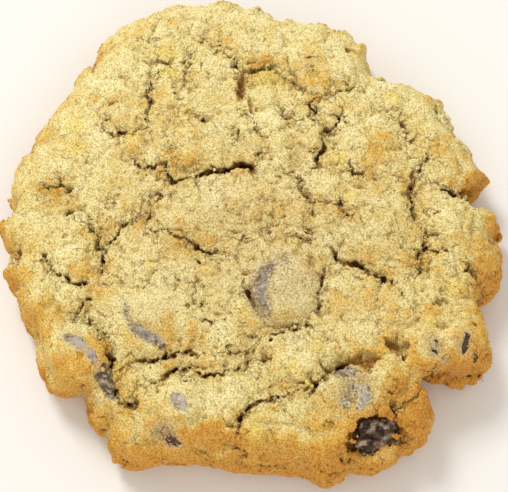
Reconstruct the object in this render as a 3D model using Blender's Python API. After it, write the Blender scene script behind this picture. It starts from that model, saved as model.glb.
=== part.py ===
# A peanut butter chocolate chip cookie, about 94 x 96 mm and 17 mm high.
# It is one baked lump of dough with a lobed rim, a cracked top and nine chocolate chips sunk
# into sockets of their own. Metres, +Z up; the origin is the middle of the flat underside.

from math import cos, pi, radians, sin

import bmesh
import bpy
import numpy as np
from mathutils import Matrix, Vector, noise

MM = 0.001

# Driving sizes of the dough, in millimetres
RIM_RADIUS = 45.8          # mean reach of the rim, before its lobes
CROWN_HEIGHT = 15.9        # top of the dome above the underside
SHOULDER_HEIGHT = 13.6     # where the dome turns down into the side
WIDEST_HEIGHT = 4.5        # the side stands out furthest here
SHOULDER_RUN = 7.0         # how far the shoulder rolls inwards above the widest height
FOOT_RUN = 2.6             # how far the foot tucks in below it

# Driving sizes of the chips, in millimetres
CHIP_BACK = 0.62           # depth of a chip over its diameter
CHIP_SEGMENTS = 18
SOCKET_GAP = 0.3           # clear space between a chip and its socket
SHAFT = 7.0                # how far each socket stays open above the face of its chip

# Mesh fineness
SPHERE_LEVELS = 7
DOUGH_TRIANGLES = 10100
SEED = 7

# Lobes and notches of the rim: (direction in degrees, half width in degrees, reach in mm)
RIM_LOBES = (
    (0.5, 2.3, 1.2), (7.5, 3.0, -4.0), (28, 13, -2.9), (53, 5.2, -5.6), (65, 4.5, -0.8),
    (79, 4.0, -1.6), (99, 4.0, 1.3), (116.5, 11.5, 3.6), (144, 6.0, -0.9), (181, 3.0, 0.8),
    (192, 3.0, 1.4), (208.5, 2.0, -0.9), (219, 4.4, 2.9), (225.5, 1.8, -2.4), (231, 3.0, 1.4),
    (241, 5.8, 4.8), (253, 4.0, 1.2), (286, 2.6, 2.8), (297, 6.6, 5.3), (309.5, 4.0, 3.3),
    (315.5, 2.3, -4.4), (328, 5.2, 3.5), (340, 4.0, -1.9), (351, 5.0, 0.9), (357, 1.8, -1.2),
)

# Swellings of the top and side: (x, y, radius, rise), the side ones also pushing outwards
BOULDERS = (
    (-31.5, -29.0, 6.5, 2.4), (-40.0, -14.0, 5.0, 0.9), (24.5, -31.0, 6.0, 1.8),
    (28.0, -41.0, 5.5, 1.6), (39.0, -24.0, 5.0, 1.2), (-16.0, -35.5, 6.5, 1.0),
    (8.0, -38.5, 7.0, 1.1), (-33.0, -16.0, 5.5, 0.9), (17.3, -34.5, 5.4, 1.0),
    (5.6, -15.0, 6.4, 0.9), (-12.0, 25.0, 7.5, 0.9), (12.0, 29.0, 8.0, 0.9),
    (-10.0, 14.5, 6.5, 0.8), (-26.0, 16.0, 6.5, 0.7), (21.0, 11.0, 6.5, 0.8),
    (35.5, 13.0, 6.0, 0.8), (-11.0, -3.0, 7.0, 0.8), (21.5, -3.5, 6.5, 0.9),
    (37.5, -3.0, 5.5, 0.9), (-19.0, -11.5, 5.5, 0.7), (-37.0, 6.0, 6.0, 0.7),
    (2.2, 27.3, 2.6, 1.1), (1.9, 3.5, 2.4, 1.3), (18.2, 1.8, 2.8, 0.9), (7.3, -7.3, 1.8, 0.8),
    (-22.2, 13.6, 2.6, 0.7), (-8.3, -11.9, 2.0, 0.7), (0.7, -41.8, 2.4, 0.8),
)

# Open cracks of the top: (width, depth, points along it), the points in millimetres
CRACKS = (
    (2.0, 2.2, ((-9.8, 36.0), (-7.0, 33.0), (-2.7, 29.0))),
    (3.0, 3.2, ((-3.2, 29.6), (-2.4, 25.5), (-2.0, 21.5))),
    (1.6, 1.8, ((-2.0, 21.5), (0.3, 16.5), (1.2, 14.5))),
    (2.2, 2.8, ((-20.5, 9.0), (-14.3, 5.5), (-8.0, 7.8), (-3.0, 8.2), (0.4, 6.8))),
    (2.0, 2.3, ((19.0, 25.3), (13.4, 23.4), (10.6, 20.5), (12.8, 16.5), (11.4, 8.8))),
    (2.4, 2.0, ((5.8, 6.9), (8.8, 4.2), (10.6, 1.0), (15.0, 0.8), (18.0, -1.5))),
    (2.2, 2.4, ((14.0, -7.6), (17.9, -10.6), (21.6, -12.2), (24.6, -14.6))),
    (2.2, 2.6, ((30.9, 9.8), (28.8, 3.6), (30.6, -3.8), (29.9, -10.5), (28.6, -13.6))),
    (2.2, 2.5, ((-31.2, -2.2), (-28.6, -5.0), (-27.4, -12.8))),
    (1.6, 1.9, ((-27.0, -9.0), (-23.6, -3.2), (-19.2, -1.7), (-17.0, 3.0), (-14.6, 3.4))),
    (1.6, 1.7, ((-18.8, -3.7), (-12.8, -5.7), (-8.8, -8.4), (-5.0, -8.8))),
    (2.0, 2.2, ((-38.3, -8.6), (-34.6, -12.1), (-30.0, -14.2), (-29.8, -17.8), (-31.8, -21.6))),
    (2.6, 3.2, ((-29.4, -20.8), (-26.6, -25.0), (-25.5, -29.6), (-24.0, -35.0), (-21.4, -36.2))),
    (2.2, 2.7, ((-24.6, -30.6), (-20.0, -28.4), (-12.5, -27.0), (-5.0, -27.2), (-1.2, -26.6))),
    (2.0, 2.4, ((-19.2, -33.4), (-13.6, -30.3), (-7.4, -31.2), (0.3, -28.8), (3.2, -28.1))),
    (2.0, 2.4, ((16.4, -29.5), (12.6, -32.0), (10.0, -34.8))),
    (1.8, 2.2, ((7.8, -34.0), (3.4, -36.1), (-1.1, -38.1), (-2.8, -42.4))),
    (3.4, 3.4, ((17.0, -28.6), (19.6, -28.8), (23.0, -26.4), (26.6, -26.8))),
    (3.0, 3.6, ((34.0, 6.4), (38.0, 5.6), (43.5, 4.4))),
    (2.0, 2.0, ((37.4, -9.4), (39.6, -11.8), (41.0, -15.6))),
    (2.4, 2.6, ((33.0, -17.0), (36.0, -18.0), (37.6, -15.8))),
    (2.2, 2.2, ((-20.0, 18.0), (-24.5, 15.8), (-28.4, 18.0))),
    (2.0, 2.4, ((-38.8, 6.0), (-34.0, 4.6), (-32.6, -1.6))),
    (1.6, 1.6, ((3.0, -23.8), (8.6, -22.2), (11.2, -18.8), (12.2, -12.8))),
)

# Deep hollows under overhanging lips: (x, y, radius, depth)
HOLLOWS = ((21.5, -42.0, 4.4, 3.6), (36.6, -25.4, 2.8, 1.6), (29.6, -26.6, 2.6, 1.2))

# Chips: name -> (x, y, diameter, height of its face, tilt in degrees, direction it tilts to)
CHIPS = {
    "chip_centre": (5.4, -15.2, 10.0, 16.2, 4, 270),
    "chip_right": (17.3, -34.6, 8.8, 15.2, 22, 290),
    "chip_front_right": (21.6, -41.6, 8.6, 9.8, 44, 288),
    "chip_left_streak": (-19.2, -21.4, 8.8, 15.3, 10, 225),
    "chip_left_edge": (-31.0, -27.2, 8.6, 15.2, 24, 215),
    "chip_low_left_a": (-13.0, -36.4, 5.2, 15.2, 14, 255),
    "chip_low_left_b": (-14.4, -42.0, 6.2, 11.0, 44, 252),
    "chip_right_edge_a": (31.0, -26.8, 7.2, 14.6, 18, 330),
    "chip_right_edge_b": (37.4, -26.0, 6.0, 13.4, 34, 322),
}

DOUGH_COLOUR = (0.62, 0.44, 0.16, 1.0)
CHOCOLATE_COLOUR = (0.055, 0.026, 0.016, 1.0)

# Unevenness of the dough, in millimetres: how wide the swells are and how high they stand
SWELL_WIDTH, SWELL_HEIGHT = 9.0, 0.9
GRIT_WIDTH, GRIT_HEIGHT = 3.0, 0.2
PLATE_WIDTH, PLATE_GROOVE = 8.5, 0.6
SIDE_WIDTH, SIDE_HEIGHT = 5.2, 1.5
CRACK_WAVER, CRACK_FLARE = 0.5, 0.6


def clear_scene():
    for old in list(bpy.data.objects):
        bpy.data.objects.remove(old, do_unlink=True)


def food_material(name, colour, roughness):
    material = bpy.data.materials.new(name)
    material.use_nodes = True
    shader = material.node_tree.nodes["Principled BSDF"]
    shader.inputs["Base Color"].default_value = colour
    shader.inputs["Roughness"].default_value = roughness
    shader.inputs["Metallic"].default_value = 0.0
    material.diffuse_color = colour
    return material


def new_object(name, bm, material):
    mesh = bpy.data.meshes.new(name)
    bm.to_mesh(mesh)
    bm.free()
    mesh.materials.append(material)
    thing = bpy.data.objects.new(name, mesh)
    bpy.context.scene.collection.objects.link(thing)
    return thing


def smooth_step(value, low, high):
    t = np.clip((value - low) / (high - low), 0.0, 1.0)
    return t * t * (3.0 - 2.0 * t)


def rim_reach(angle):
    """Radius of the widest outline in each direction; angle in degrees."""
    reach = np.full(np.shape(angle), RIM_RADIUS)
    for middle, half_width, out in RIM_LOBES:
        away = (angle - middle + 180.0) % 360.0 - 180.0
        reach = reach + out * np.exp(-0.5 * (away / half_width) ** 2)
    return reach


def meridian():
    """Radius and height of the plain form, from the crown over the side to the base's middle."""
    t = np.linspace(0.0, 1.0, 80)
    turn = t * pi / 2
    table = RIM_RADIUS - SHOULDER_RUN
    drop = CROWN_HEIGHT - SHOULDER_HEIGHT
    roll = SHOULDER_HEIGHT - WIDEST_HEIGHT
    radius = np.concatenate((
        table * t,
        table + SHOULDER_RUN * np.sin(turn),
        RIM_RADIUS - FOOT_RUN * (1.0 - np.cos(turn)),
        (RIM_RADIUS - FOOT_RUN) * (1.0 - t),
    ))
    height = np.concatenate((
        CROWN_HEIGHT - drop * t ** 2,
        WIDEST_HEIGHT + roll * np.cos(turn),
        WIDEST_HEIGHT * (1.0 - np.sin(turn)),
        0.0 * t,
    ))
    return radius, height


def spread_over_meridian(polar):
    """Carries the polar angle of a sphere to a place on the meridian, keeping areas true."""
    radius, height = meridian()
    step = np.hypot(np.diff(radius), np.diff(height))
    ring = 0.5 * (radius[1:] + radius[:-1]) * step
    area = np.concatenate(([0.0], np.cumsum(ring)))
    share = (1.0 - np.cos(polar)) / 2.0 * area[-1]
    return np.interp(share, area, radius), np.interp(share, area, height)


def noise_at(points, width, offset):
    """Smooth noise from -1 to 1 whose swells are about this wide."""
    shift = Vector((offset, SEED, -offset))
    return np.array([noise.noise(Vector(p) / width + shift) for p in points])


def smooth_path(points, waver, rng):
    """A crack's path: its points joined, split finely and moved a little to and fro."""
    path = np.array(points, float)
    for _ in range(3):
        middles = 0.5 * (path[1:] + path[:-1])
        middles += rng.normal(0.0, waver, middles.shape)
        joined = np.empty((2 * len(path) - 1, 2))
        joined[0::2] = path
        joined[1::2] = middles
        path = joined
        waver *= 0.5
    return path


def distance_to_path(x, y, path):
    """Distance to the path and how far along it the nearest place is, from 0 to 1."""
    nearest = np.full(x.shape, 1e9)
    along = np.zeros(x.shape)
    last = len(path) - 1
    for i in range(last):
        start, run = path[i], path[i + 1] - path[i]
        t = ((x - start[0]) * run[0] + (y - start[1]) * run[1]) / (run @ run)
        t = np.clip(t, 0.0, 1.0)
        gap = np.hypot(x - start[0] - t * run[0], y - start[1] - t * run[1])
        closer = gap < nearest
        nearest[closer] = gap[closer]
        along[closer] = ((i + t) / last)[closer]
    return nearest, along


def crack_depth(x, y, rng):
    """How far all the cracks together pull the top down."""
    depth = np.zeros(x.shape)
    for width, deep, points in CRACKS:
        gap, along = distance_to_path(x, y, smooth_path(points, CRACK_WAVER, rng))
        taper = smooth_step(along, 0.0, 0.15) * smooth_step(1.0 - along, 0.0, 0.15)
        reach = 0.5 * width * (0.45 + 0.55 * taper) + CRACK_FLARE
        wall = 1.0 - smooth_step(gap, 0.4 * reach, 1.3 * reach)
        depth = np.maximum(depth, (deep + CRACK_FLARE) * (0.4 + 0.6 * taper) * wall)
    return depth


def plate_groove(x, y, rng):
    """Shallow grooves between the plates that the top broke into as it spread."""
    across = int(2.4 * RIM_RADIUS / PLATE_WIDTH)
    seeds = [
        ((i + rng.uniform(-0.4, 0.4)) * PLATE_WIDTH, (j + rng.uniform(-0.4, 0.4)) * PLATE_WIDTH)
        for i in range(-across // 2, across // 2 + 1)
        for j in range(-across // 2, across // 2 + 1)
    ]
    gaps = np.sort([np.hypot(x - sx, y - sy) for sx, sy in seeds], axis=0)[:2]
    return 1.0 - smooth_step(gaps[1] - gaps[0], 0.0, 1.8)


def boulder_rise(x, y):
    rise = np.zeros(x.shape)
    for bx, by, radius, high in BOULDERS:
        away = np.hypot(x - bx, y - by) / radius
        rise += high * np.clip(1.0 - away ** 2, 0.0, 1.0) ** 1.2
    return rise


def hollow_depth(x, y):
    depth = np.zeros(x.shape)
    for hx, hy, radius, deep in HOLLOWS:
        away = np.hypot(x - hx, y - hy) / radius
        depth = np.maximum(depth, deep * (1.0 - smooth_step(away, 0.45, 1.1)))
    return depth


def shape_dough(points):
    """Carries the points of a unit sphere onto the baked dough; returns millimetres."""
    rng = np.random.default_rng(SEED)
    polar = np.arccos(np.clip(points[:, 2], -1.0, 1.0))
    around = np.arctan2(points[:, 1], points[:, 0])
    radius, height = spread_over_meridian(polar)
    reach = rim_reach(np.degrees(around)) / RIM_RADIUS
    # The lobes fade out towards the middle, so that they don't stretch the top.
    grow = 1.0 + (reach - 1.0) * smooth_step(radius, 0.55 * RIM_RADIUS, 0.95 * RIM_RADIUS)
    radius = radius * grow
    x, y = radius * np.cos(around), radius * np.sin(around)
    plain = np.stack((x, y, height), axis=1)

    top = smooth_step(height, WIDEST_HEIGHT + 1.0, SHOULDER_HEIGHT - 1.0)
    side = smooth_step(height, 0.6, 3.0) * (1.0 - 0.75 * top)
    swell = noise_at(plain, SWELL_WIDTH, 3.1) * SWELL_HEIGHT
    grit = noise_at(plain, GRIT_WIDTH, 11.7) * GRIT_HEIGHT
    lump = noise_at(plain, SIDE_WIDTH, 23.9) * SIDE_HEIGHT
    rise = boulder_rise(x, y) + swell + grit - PLATE_GROOVE * plate_groove(x, y, rng)
    rise -= crack_depth(x, y, rng) + hollow_depth(x, y)
    height = height + top * rise
    push = side * (lump + grit + 0.5 * boulder_rise(x, y))
    return np.stack((x + push * np.cos(around), y + push * np.sin(around), height), axis=1)


def make_dough(material):
    bm = bmesh.new()
    bmesh.ops.create_icosphere(bm, subdivisions=SPHERE_LEVELS, radius=1.0)
    points = np.array([v.co for v in bm.verts])
    for vert, place in zip(bm.verts, shape_dough(points)):
        vert.co = Vector(place) * MM
    bmesh.ops.recalc_face_normals(bm, faces=bm.faces)
    dough = new_object("dough", bm, material)
    thin = dough.modifiers.new("Thin out", "DECIMATE")
    thin.ratio = DOUGH_TRIANGLES / len(dough.data.polygons)
    dough.data.shade_smooth()
    return dough


def chip_outline(diameter):
    """Half outline of a chip from the middle of its face to its tip: radius and height."""
    edge = 0.5 * diameter
    deep = CHIP_BACK * diameter
    return (
        (0.0, 0.02 * deep), (0.82 * edge, -0.03 * deep), (0.99 * edge, -0.15 * deep),
        (0.97 * edge, -0.30 * deep), (0.74 * edge, -0.58 * deep), (0.36 * edge, -0.86 * deep),
        (0.0, -deep),
    )


def turned(outline, uneven):
    """A closed turned body, slightly out of round."""
    bm = bmesh.new()
    rings = []
    for radius, height in outline[1:-1]:
        ring = []
        for i in range(CHIP_SEGMENTS):
            turn = 2.0 * pi * i / CHIP_SEGMENTS
            out = radius * (1.0 + 0.03 * sin(2 * turn + uneven) + 0.02 * sin(3 * turn - uneven))
            ring.append(bm.verts.new((out * cos(turn), out * sin(turn), height)))
        rings.append(ring)
    top = bm.verts.new((0.0, 0.0, outline[0][1]))
    tip = bm.verts.new((0.0, 0.0, outline[-1][1]))
    for i in range(CHIP_SEGMENTS):
        j = (i + 1) % CHIP_SEGMENTS
        bm.faces.new((top, rings[0][i], rings[0][j]))
        bm.faces.new((tip, rings[-1][j], rings[-1][i]))
        for upper, lower in zip(rings, rings[1:]):
            bm.faces.new((upper[i], lower[i], lower[j], upper[j]))
    bmesh.ops.recalc_face_normals(bm, faces=bm.faces)
    return bm


def grown(outline, gap, shaft):
    """The chip's outline with the gap all round it and a straight shaft above its face."""
    wide = max(radius for radius, _ in outline) + gap
    widest = max(range(len(outline)), key=lambda i: outline[i][0])
    lower = [(radius + gap, height - gap) for radius, height in outline[widest:-1]]
    lower[0] = (wide, lower[0][1])
    tip = outline[-1][1] - 1.6 * gap
    return [(0.0, shaft), (wide, shaft), *lower, (0.0, tip)]


def chip_place(x, y, face, tilt, toward):
    """Where a chip's face lies, tipped over by tilt towards the direction toward."""
    lean = Matrix.Rotation(radians(tilt), 4, Vector((-sin(radians(toward)), cos(radians(toward)), 0)))
    return Matrix.Translation(Vector((x, y, face)) * MM) @ lean @ Matrix.Scale(MM, 4)


def make_chip(name, dough, chocolate, uneven):
    x, y, diameter, face, tilt, toward = CHIPS[name]
    place = chip_place(x, y, face, tilt, toward)
    outline = chip_outline(diameter)
    body = turned(outline, uneven)
    body.transform(place)
    chip = new_object(name, body, chocolate)
    chip.data.shade_smooth()

    hole = turned(grown(outline, SOCKET_GAP, SHAFT), uneven)
    hole.transform(place)
    cutter = new_object(name + "_socket", hole, chocolate)
    cutter.hide_render = True
    cutter.display_type = "WIRE"
    cut = dough.modifiers.new("Socket " + name, "BOOLEAN")
    cut.operation = "DIFFERENCE"
    cut.object = cutter
    return chip


def main():
    clear_scene()
    baked = food_material("baked dough", DOUGH_COLOUR, 0.85)
    chocolate = food_material("dark chocolate", CHOCOLATE_COLOUR, 0.45)
    dough = make_dough(baked)
    for number, name in enumerate(CHIPS):
        make_chip(name, dough, chocolate, 1.3 * number)


main()
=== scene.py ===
import math
import time

import bmesh
import bpy
import numpy as np
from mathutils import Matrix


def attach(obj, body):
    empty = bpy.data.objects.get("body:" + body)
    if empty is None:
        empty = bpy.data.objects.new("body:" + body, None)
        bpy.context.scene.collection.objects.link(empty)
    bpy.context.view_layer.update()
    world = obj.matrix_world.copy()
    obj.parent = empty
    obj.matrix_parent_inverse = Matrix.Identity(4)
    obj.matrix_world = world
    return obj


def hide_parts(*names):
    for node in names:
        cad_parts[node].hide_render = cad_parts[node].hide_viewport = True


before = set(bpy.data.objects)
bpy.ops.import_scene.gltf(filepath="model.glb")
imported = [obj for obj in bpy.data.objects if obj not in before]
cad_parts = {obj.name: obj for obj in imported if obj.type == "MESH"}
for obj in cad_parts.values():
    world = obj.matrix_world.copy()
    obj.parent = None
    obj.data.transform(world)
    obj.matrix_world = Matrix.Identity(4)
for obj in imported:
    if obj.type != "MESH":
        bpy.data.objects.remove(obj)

import openvdb
from mathutils import Matrix, Vector, noise

# A baked peanut butter cookie with chocolate chips. Every number below is in millimetres
# unless it says otherwise; the meshes are turned to metres as they are made.
mm = 0.001
began = time.time()
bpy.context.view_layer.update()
randomSeed = 7


def tell(words):
    print(f"{time.time() - began:6.1f} s  {words}")


# The photograph's view. Places on the cookie are read off a grid laid over the picture, whose
# middle is the point that the camera looks at.
photoView = {
    "aim": (0.0, -4.0, 8.0),
    "elevation": 68.0,       # degrees above the horizon
    "distance": 320.0,
    "pixel": 0.185,          # size of a pixel at the aim
    "width": 508,            # pixels across the picture
    "sensor": 36.0,
    "gridCrown": 16.0,       # the grid lies on a dome: its height in the middle
    "gridDrop": 2.6,         # and how far it falls to its edge
    "gridHalf": (46.0, 48.0),
}
tilt = math.radians(photoView["elevation"])
viewBack = np.array((0.0, -math.cos(tilt), math.sin(tilt)))
eye = np.array(photoView["aim"]) + viewBack * photoView["distance"]

# The volume that the dough is worked out in
stepSize = 0.25
volume = {"low": (-49.0, -50.5, -1.0), "high": (49.0, 50.5, 19.5)}
xs, ys, zs = (np.arange(a, b, stepSize, dtype=np.float32) for a, b in zip(volume["low"], volume["high"]))
gx, gy, gz = xs[:, None, None], ys[None, :, None], zs[None, None, :]
fx, fy = xs[:, None], ys[None, :]


def smoothStep(value, low, high):
    t = np.clip((value - low) / (high - low), 0.0, 1.0)
    return t * t * (3.0 - 2.0 * t)


def smoothMin(a, b, blend):
    h = np.clip(0.5 + 0.5 * (b - a) / blend, 0.0, 1.0)
    return b + (a - b) * h - blend * h * (1.0 - h)


def smoothMax(a, b, blend):
    return -smoothMin(-a, -b, blend)


def splineWeights(places, spacing):
    # weights of the cubic curves that carry lattice values to these places
    t = (places - places[0]) / spacing
    k = np.floor(t).astype(int)
    f = t - k
    curves = ((1 - f) ** 3, 3 * f ** 3 - 6 * f ** 2 + 4, -3 * f ** 3 + 3 * f ** 2 + 3 * f + 1, f ** 3)
    weights = np.zeros((len(places), k.max() + 4), np.float32)
    for i, curve in enumerate(curves):
        weights[np.arange(len(places)), k + i] += curve / 6
    return weights


def spreadOver(lattice, sheets):
    for weights in sheets:
        lattice = np.tensordot(lattice, weights, axes=(0, 1))
    return lattice


def softNoise(width, salt, flat=False):
    # swells of about this width, with a standard deviation of 1
    sheets = [splineWeights(p, width / 2) for p in ((xs, ys) if flat else (xs, ys, zs))]
    draw = np.random.default_rng(randomSeed + salt)
    lattice = draw.normal(size=[w.shape[1] for w in sheets]).astype(np.float32)
    field = spreadOver(lattice, sheets)
    return (field / field.std()).astype(np.float32)


def frameNoise(width, offset):
    # the same slow swells as the CAD dough has, worked out on a lattice this coarse
    coarse = 1.5
    shift = Vector((offset, randomSeed, -offset))
    spots = [np.arange(p[0], p[-1] + 2 * coarse, coarse) for p in (xs, ys, zs)]
    values = [noise.noise(Vector((x, y, z)) / width + shift)
              for x in spots[0] for y in spots[1] for z in spots[2]]
    lattice = np.array(values, np.float32).reshape([len(s) for s in spots])
    sheets = []
    for places, spot in zip((xs, ys, zs), spots):
        t = (places - spot[0]) / coarse
        k = np.floor(t).astype(int)
        weights = np.zeros((len(places), len(spot)), np.float32)
        weights[np.arange(len(places)), k] = 1 - (t - k)
        weights[np.arange(len(places)), k + 1] += t - k
        sheets.append(weights)
    return spreadOver(lattice, sheets)


# The plain form of the dough, as the CAD has it
doughForm = {
    "rimRadius": 45.8,         # half the mean width
    "crown": 15.9,             # height in the middle
    "shoulder": 13.6,          # height where the top turns down
    "widest": 4.5,             # height of the widest place
    "shoulderRun": 7.0,        # how far the shoulder draws in, and the foot
    "footRun": 2.6,
    "rimFelt": (0.55, 0.95),   # over the rim's radius: from where to where its shape comes in
    "topFade": (5.5, 12.6),    # heights over which the relief of the top comes in
    "footFade": (0.6, 3.0),    # and that of the walls
    # direction and half width in degrees, reach in mm
    "lobes": (
        (0.5, 2.3, 1.2), (7.5, 3.0, -4.0), (28, 13, -2.9), (53, 5.2, -5.6), (65, 4.5, -0.8),
        (79, 4.0, -1.6), (99, 4.0, 1.3), (116.5, 11.5, 3.6), (144, 6.0, -0.9), (181, 3.0, 0.8),
        (192, 3.0, 1.4), (208.5, 2.0, -0.9), (219, 4.4, 2.9), (225.5, 1.8, -2.4), (231, 3.0, 1.4),
        (241, 5.8, 4.8), (251, 4.0, 1.9), (286, 2.6, 2.8), (297, 6.6, 5.3), (309.5, 4.0, 3.3),
        (315.5, 2.3, -4.4), (328, 5.2, 3.5), (340, 4.0, -1.9), (351, 5.0, 0.9), (357, 1.8, -1.2),
    ),
    # finer steps of the outline
    "knobs": (
        (0, 1.5, 0.9), (7, 1.5, -1.0), (12, 1.5, 1.0), (36, 2, 1.2), (48, 2, -1.2), (55, 2, -1.8),
        (60, 1.2, 0.9), (62, 1.0, -0.9), (84, 1.5, -1.0), (97, 2, 0.8), (109, 2, 0.8), (172, 1.5, 0.8),
        (188, 2, -1.1), (197, 3, -0.8), (218, 1.5, -1.4), (232, 1.5, -1.0), (236, 1.5, -2.0),
        (284, 1.5, 1.4), (301, 2, -1.3), (309, 2, -1.0), (312.6, 1.4, 0.6), (316.2, 1.3, -2.0),
        (321, 3, -1.3), (326, 2, 0.8), (336, 1.5, 1.0), (4, 4, -1.0), (40, 6, -1.0), (227, 3.5, -1.3),
        (248, 4, -1.0), (258, 5, -1.2), (290, 1.5, -1.0), (134, 3, -0.8), (12, 1.0, 1.2),
    ),
    # x, y, radius, rise
    "boulders": (
        (-31.5, -29.0, 6.5, 2.4), (-40.0, -14.0, 5.0, 0.9), (24.5, -31.0, 6.0, 1.8),
        (28.0, -41.0, 5.5, 1.6), (39.0, -24.0, 5.0, 1.2), (-16.0, -35.5, 6.5, 1.0),
        (8.0, -38.5, 7.0, 1.1), (-33.0, -16.0, 5.5, 0.9), (17.3, -34.5, 5.4, 1.0),
        (5.6, -15.0, 6.4, 0.9), (-12.0, 25.0, 7.5, 0.9), (12.0, 29.0, 8.0, 0.9),
        (-10.0, 14.5, 6.5, 0.8), (-26.0, 16.0, 6.5, 0.7), (21.0, 11.0, 6.5, 0.8),
        (35.5, 13.0, 6.0, 0.8), (-11.0, -3.0, 7.0, 0.8), (21.5, -3.5, 6.5, 0.9),
        (37.5, -3.0, 5.5, 0.9), (-19.0, -11.5, 5.5, 0.7), (-37.0, 6.0, 6.0, 0.7),
    ),
    # width and height of the swells of the top, the lumps of the walls and the grooves between plates
    "swell": (9.0, 0.9),
    "sideLump": (5.2, 1.5),
    "plates": (8.5, 0.45),
    "grooveWidth": 1.8,
}


def rimGrowth(angle):
    # reach of the rim in each direction, over its mean
    reach = np.full(np.shape(angle), doughForm["rimRadius"])
    for middle, half, out in doughForm["lobes"] + doughForm["knobs"]:
        away = (angle - middle + 180.0) % 360.0 - 180.0
        reach = reach + out * np.exp(-0.5 * (away / half) ** 2)
    return reach / doughForm["rimRadius"]


def rimShare(radius):
    # how much of the rim's shape is felt this far out
    low, high = doughForm["rimFelt"]
    return smoothStep(radius, low * doughForm["rimRadius"], high * doughForm["rimRadius"])


def boulderRise(x, y):
    rise = np.zeros(np.broadcast(x, y).shape)
    for bx, by, radius, high in doughForm["boulders"]:
        away = ((x - bx) ** 2 + (y - by) ** 2) / radius ** 2
        rise += high * np.clip(1.0 - away, 0.0, 1.0) ** 1.2
    return rise


def plainRadius(height):
    # how far the plain form reaches out at each height
    d = doughForm
    up = np.clip((height - d["widest"]) / (d["shoulder"] - d["widest"]), 0.0, 1.0)
    down = np.clip((d["widest"] - height) / d["widest"], 0.0, 1.0)
    table = d["rimRadius"] - d["shoulderRun"]
    upper = table + d["shoulderRun"] * np.sqrt(1.0 - up ** 2)
    lower = d["rimRadius"] - d["footRun"] * (1.0 - np.sqrt(1.0 - down ** 2))
    return np.where(height > d["widest"], upper, lower)


def domeHeight(radius):
    d = doughForm
    table = d["rimRadius"] - d["shoulderRun"]
    return d["crown"] - (d["crown"] - d["shoulder"]) * (radius / table) ** 2


def plainHeight(x, y):
    # height of the plain form above the tray, -1 beside it
    d = doughForm
    radius = np.hypot(x, y)
    growth = rimGrowth(np.degrees(np.arctan2(y, x)))
    growth = 1.0 + (growth - 1.0) * rimShare(radius)
    radius = radius / growth
    out = np.clip((radius - d["rimRadius"] + d["shoulderRun"]) / d["shoulderRun"], 0.0, 1.0)
    shoulder = d["widest"] + (d["shoulder"] - d["widest"]) * np.sqrt(1.0 - out ** 2)
    height = np.where(out > 0.0, np.minimum(shoulder, domeHeight(radius)), domeHeight(radius))
    height = height + boulderRise(x, y) * smoothStep(height, *d["topFade"])
    return np.where(radius < d["rimRadius"], height, -1.0)


def onCookie(x, y):
    # where the line of sight through a place on the picture's grid meets the cookie
    halfX, halfY = photoView["gridHalf"]
    out = min(math.hypot(x / halfX, y / halfY), 1.0)
    start = np.array((x, y, photoView["gridCrown"] - photoView["gridDrop"] * out ** 2))
    start[:2] += photoView["aim"][:2]
    ray = start - eye
    ray /= np.linalg.norm(ray)
    places = start + np.linspace(-5.0, 18.0, 461)[:, None] * ray     # a place each 0.05 mm
    below = places[:, 2] <= plainHeight(places[:, 0], places[:, 1])
    return places[np.argmax(below)] if below.any() else start


def plateGroove():
    # shallow grooves between the plates that the top broke into as it spread
    width = doughForm["plates"][0]
    draw = np.random.default_rng(randomSeed)
    across = int(2.4 * doughForm["rimRadius"] / width)
    nearest = np.full((len(xs), len(ys)), 99.0, np.float32)
    second = nearest.copy()
    steps = range(-across // 2, across // 2 + 1)
    for i in steps:
        for j in steps:
            sx = (i + draw.uniform(-0.4, 0.4)) * width
            sy = (j + draw.uniform(-0.4, 0.4)) * width
            away = np.hypot(fx - sx, fy - sy)
            second = np.minimum(second, np.maximum(nearest, away))
            nearest = np.minimum(nearest, away)
    return 1.0 - smoothStep(second - nearest, 0.0, doughForm["grooveWidth"])


def plainDough():
    # signed distance to the plain form, less than 0 inside it
    d = doughForm
    radius = np.hypot(fx, fy)
    growth = rimGrowth(np.degrees(np.arctan2(fy, fx)))
    plain = plainRadius(zs)
    reach = plain[None, None, :] * (1.0 + (growth[:, :, None] - 1.0) * rimShare(plain)[None, None, :])
    field = smoothMax(radius[:, :, None] - reach, gz - domeHeight(radius)[:, :, None], 1.0)
    top = smoothStep(gz, *d["topFade"])
    side = smoothStep(gz, *d["footFade"]) * (1.0 - 0.75 * top)
    boulders = boulderRise(fx, fy)[:, :, None]
    grooves = (d["plates"][1] * plateGroove())[:, :, None]
    field -= (top + 0.5 * side) * boulders - top * grooves
    field -= top * d["swell"][1] * frameNoise(d["swell"][0], 3.1)
    field -= side * d["sideLump"][1] * frameNoise(d["sideLump"][0], 23.9)
    return field.astype(np.float32)


field = plainDough()
plainForm = field.copy()
tell(f"plain dough, {field.shape} points")


def topOf(solid):
    # height of the highest surface over each place
    inside = solid < 0
    k = len(zs) - 1 - np.argmax(inside[:, :, ::-1], axis=2)
    k = np.clip(k, 0, len(zs) - 2)
    rows, columns = np.ogrid[:len(xs), :len(ys)]
    low, high = solid[rows, columns, k], solid[rows, columns, k + 1]
    part = np.clip(low / np.minimum(low - high, -1e-6), 0.0, 1.0)
    return np.where(inside.any(axis=2), zs[k] + stepSize * part, -1.0).astype(np.float32)


def windowAround(low, high):
    # the part of the volume between two corners
    spans = []
    for k, places in enumerate((xs, ys, zs)[:len(low)]):
        a, b = np.searchsorted(places, (low[k], high[k]))
        spans.append(slice(max(a, 0), min(b + 1, len(places))))
    return tuple(spans)


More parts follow.
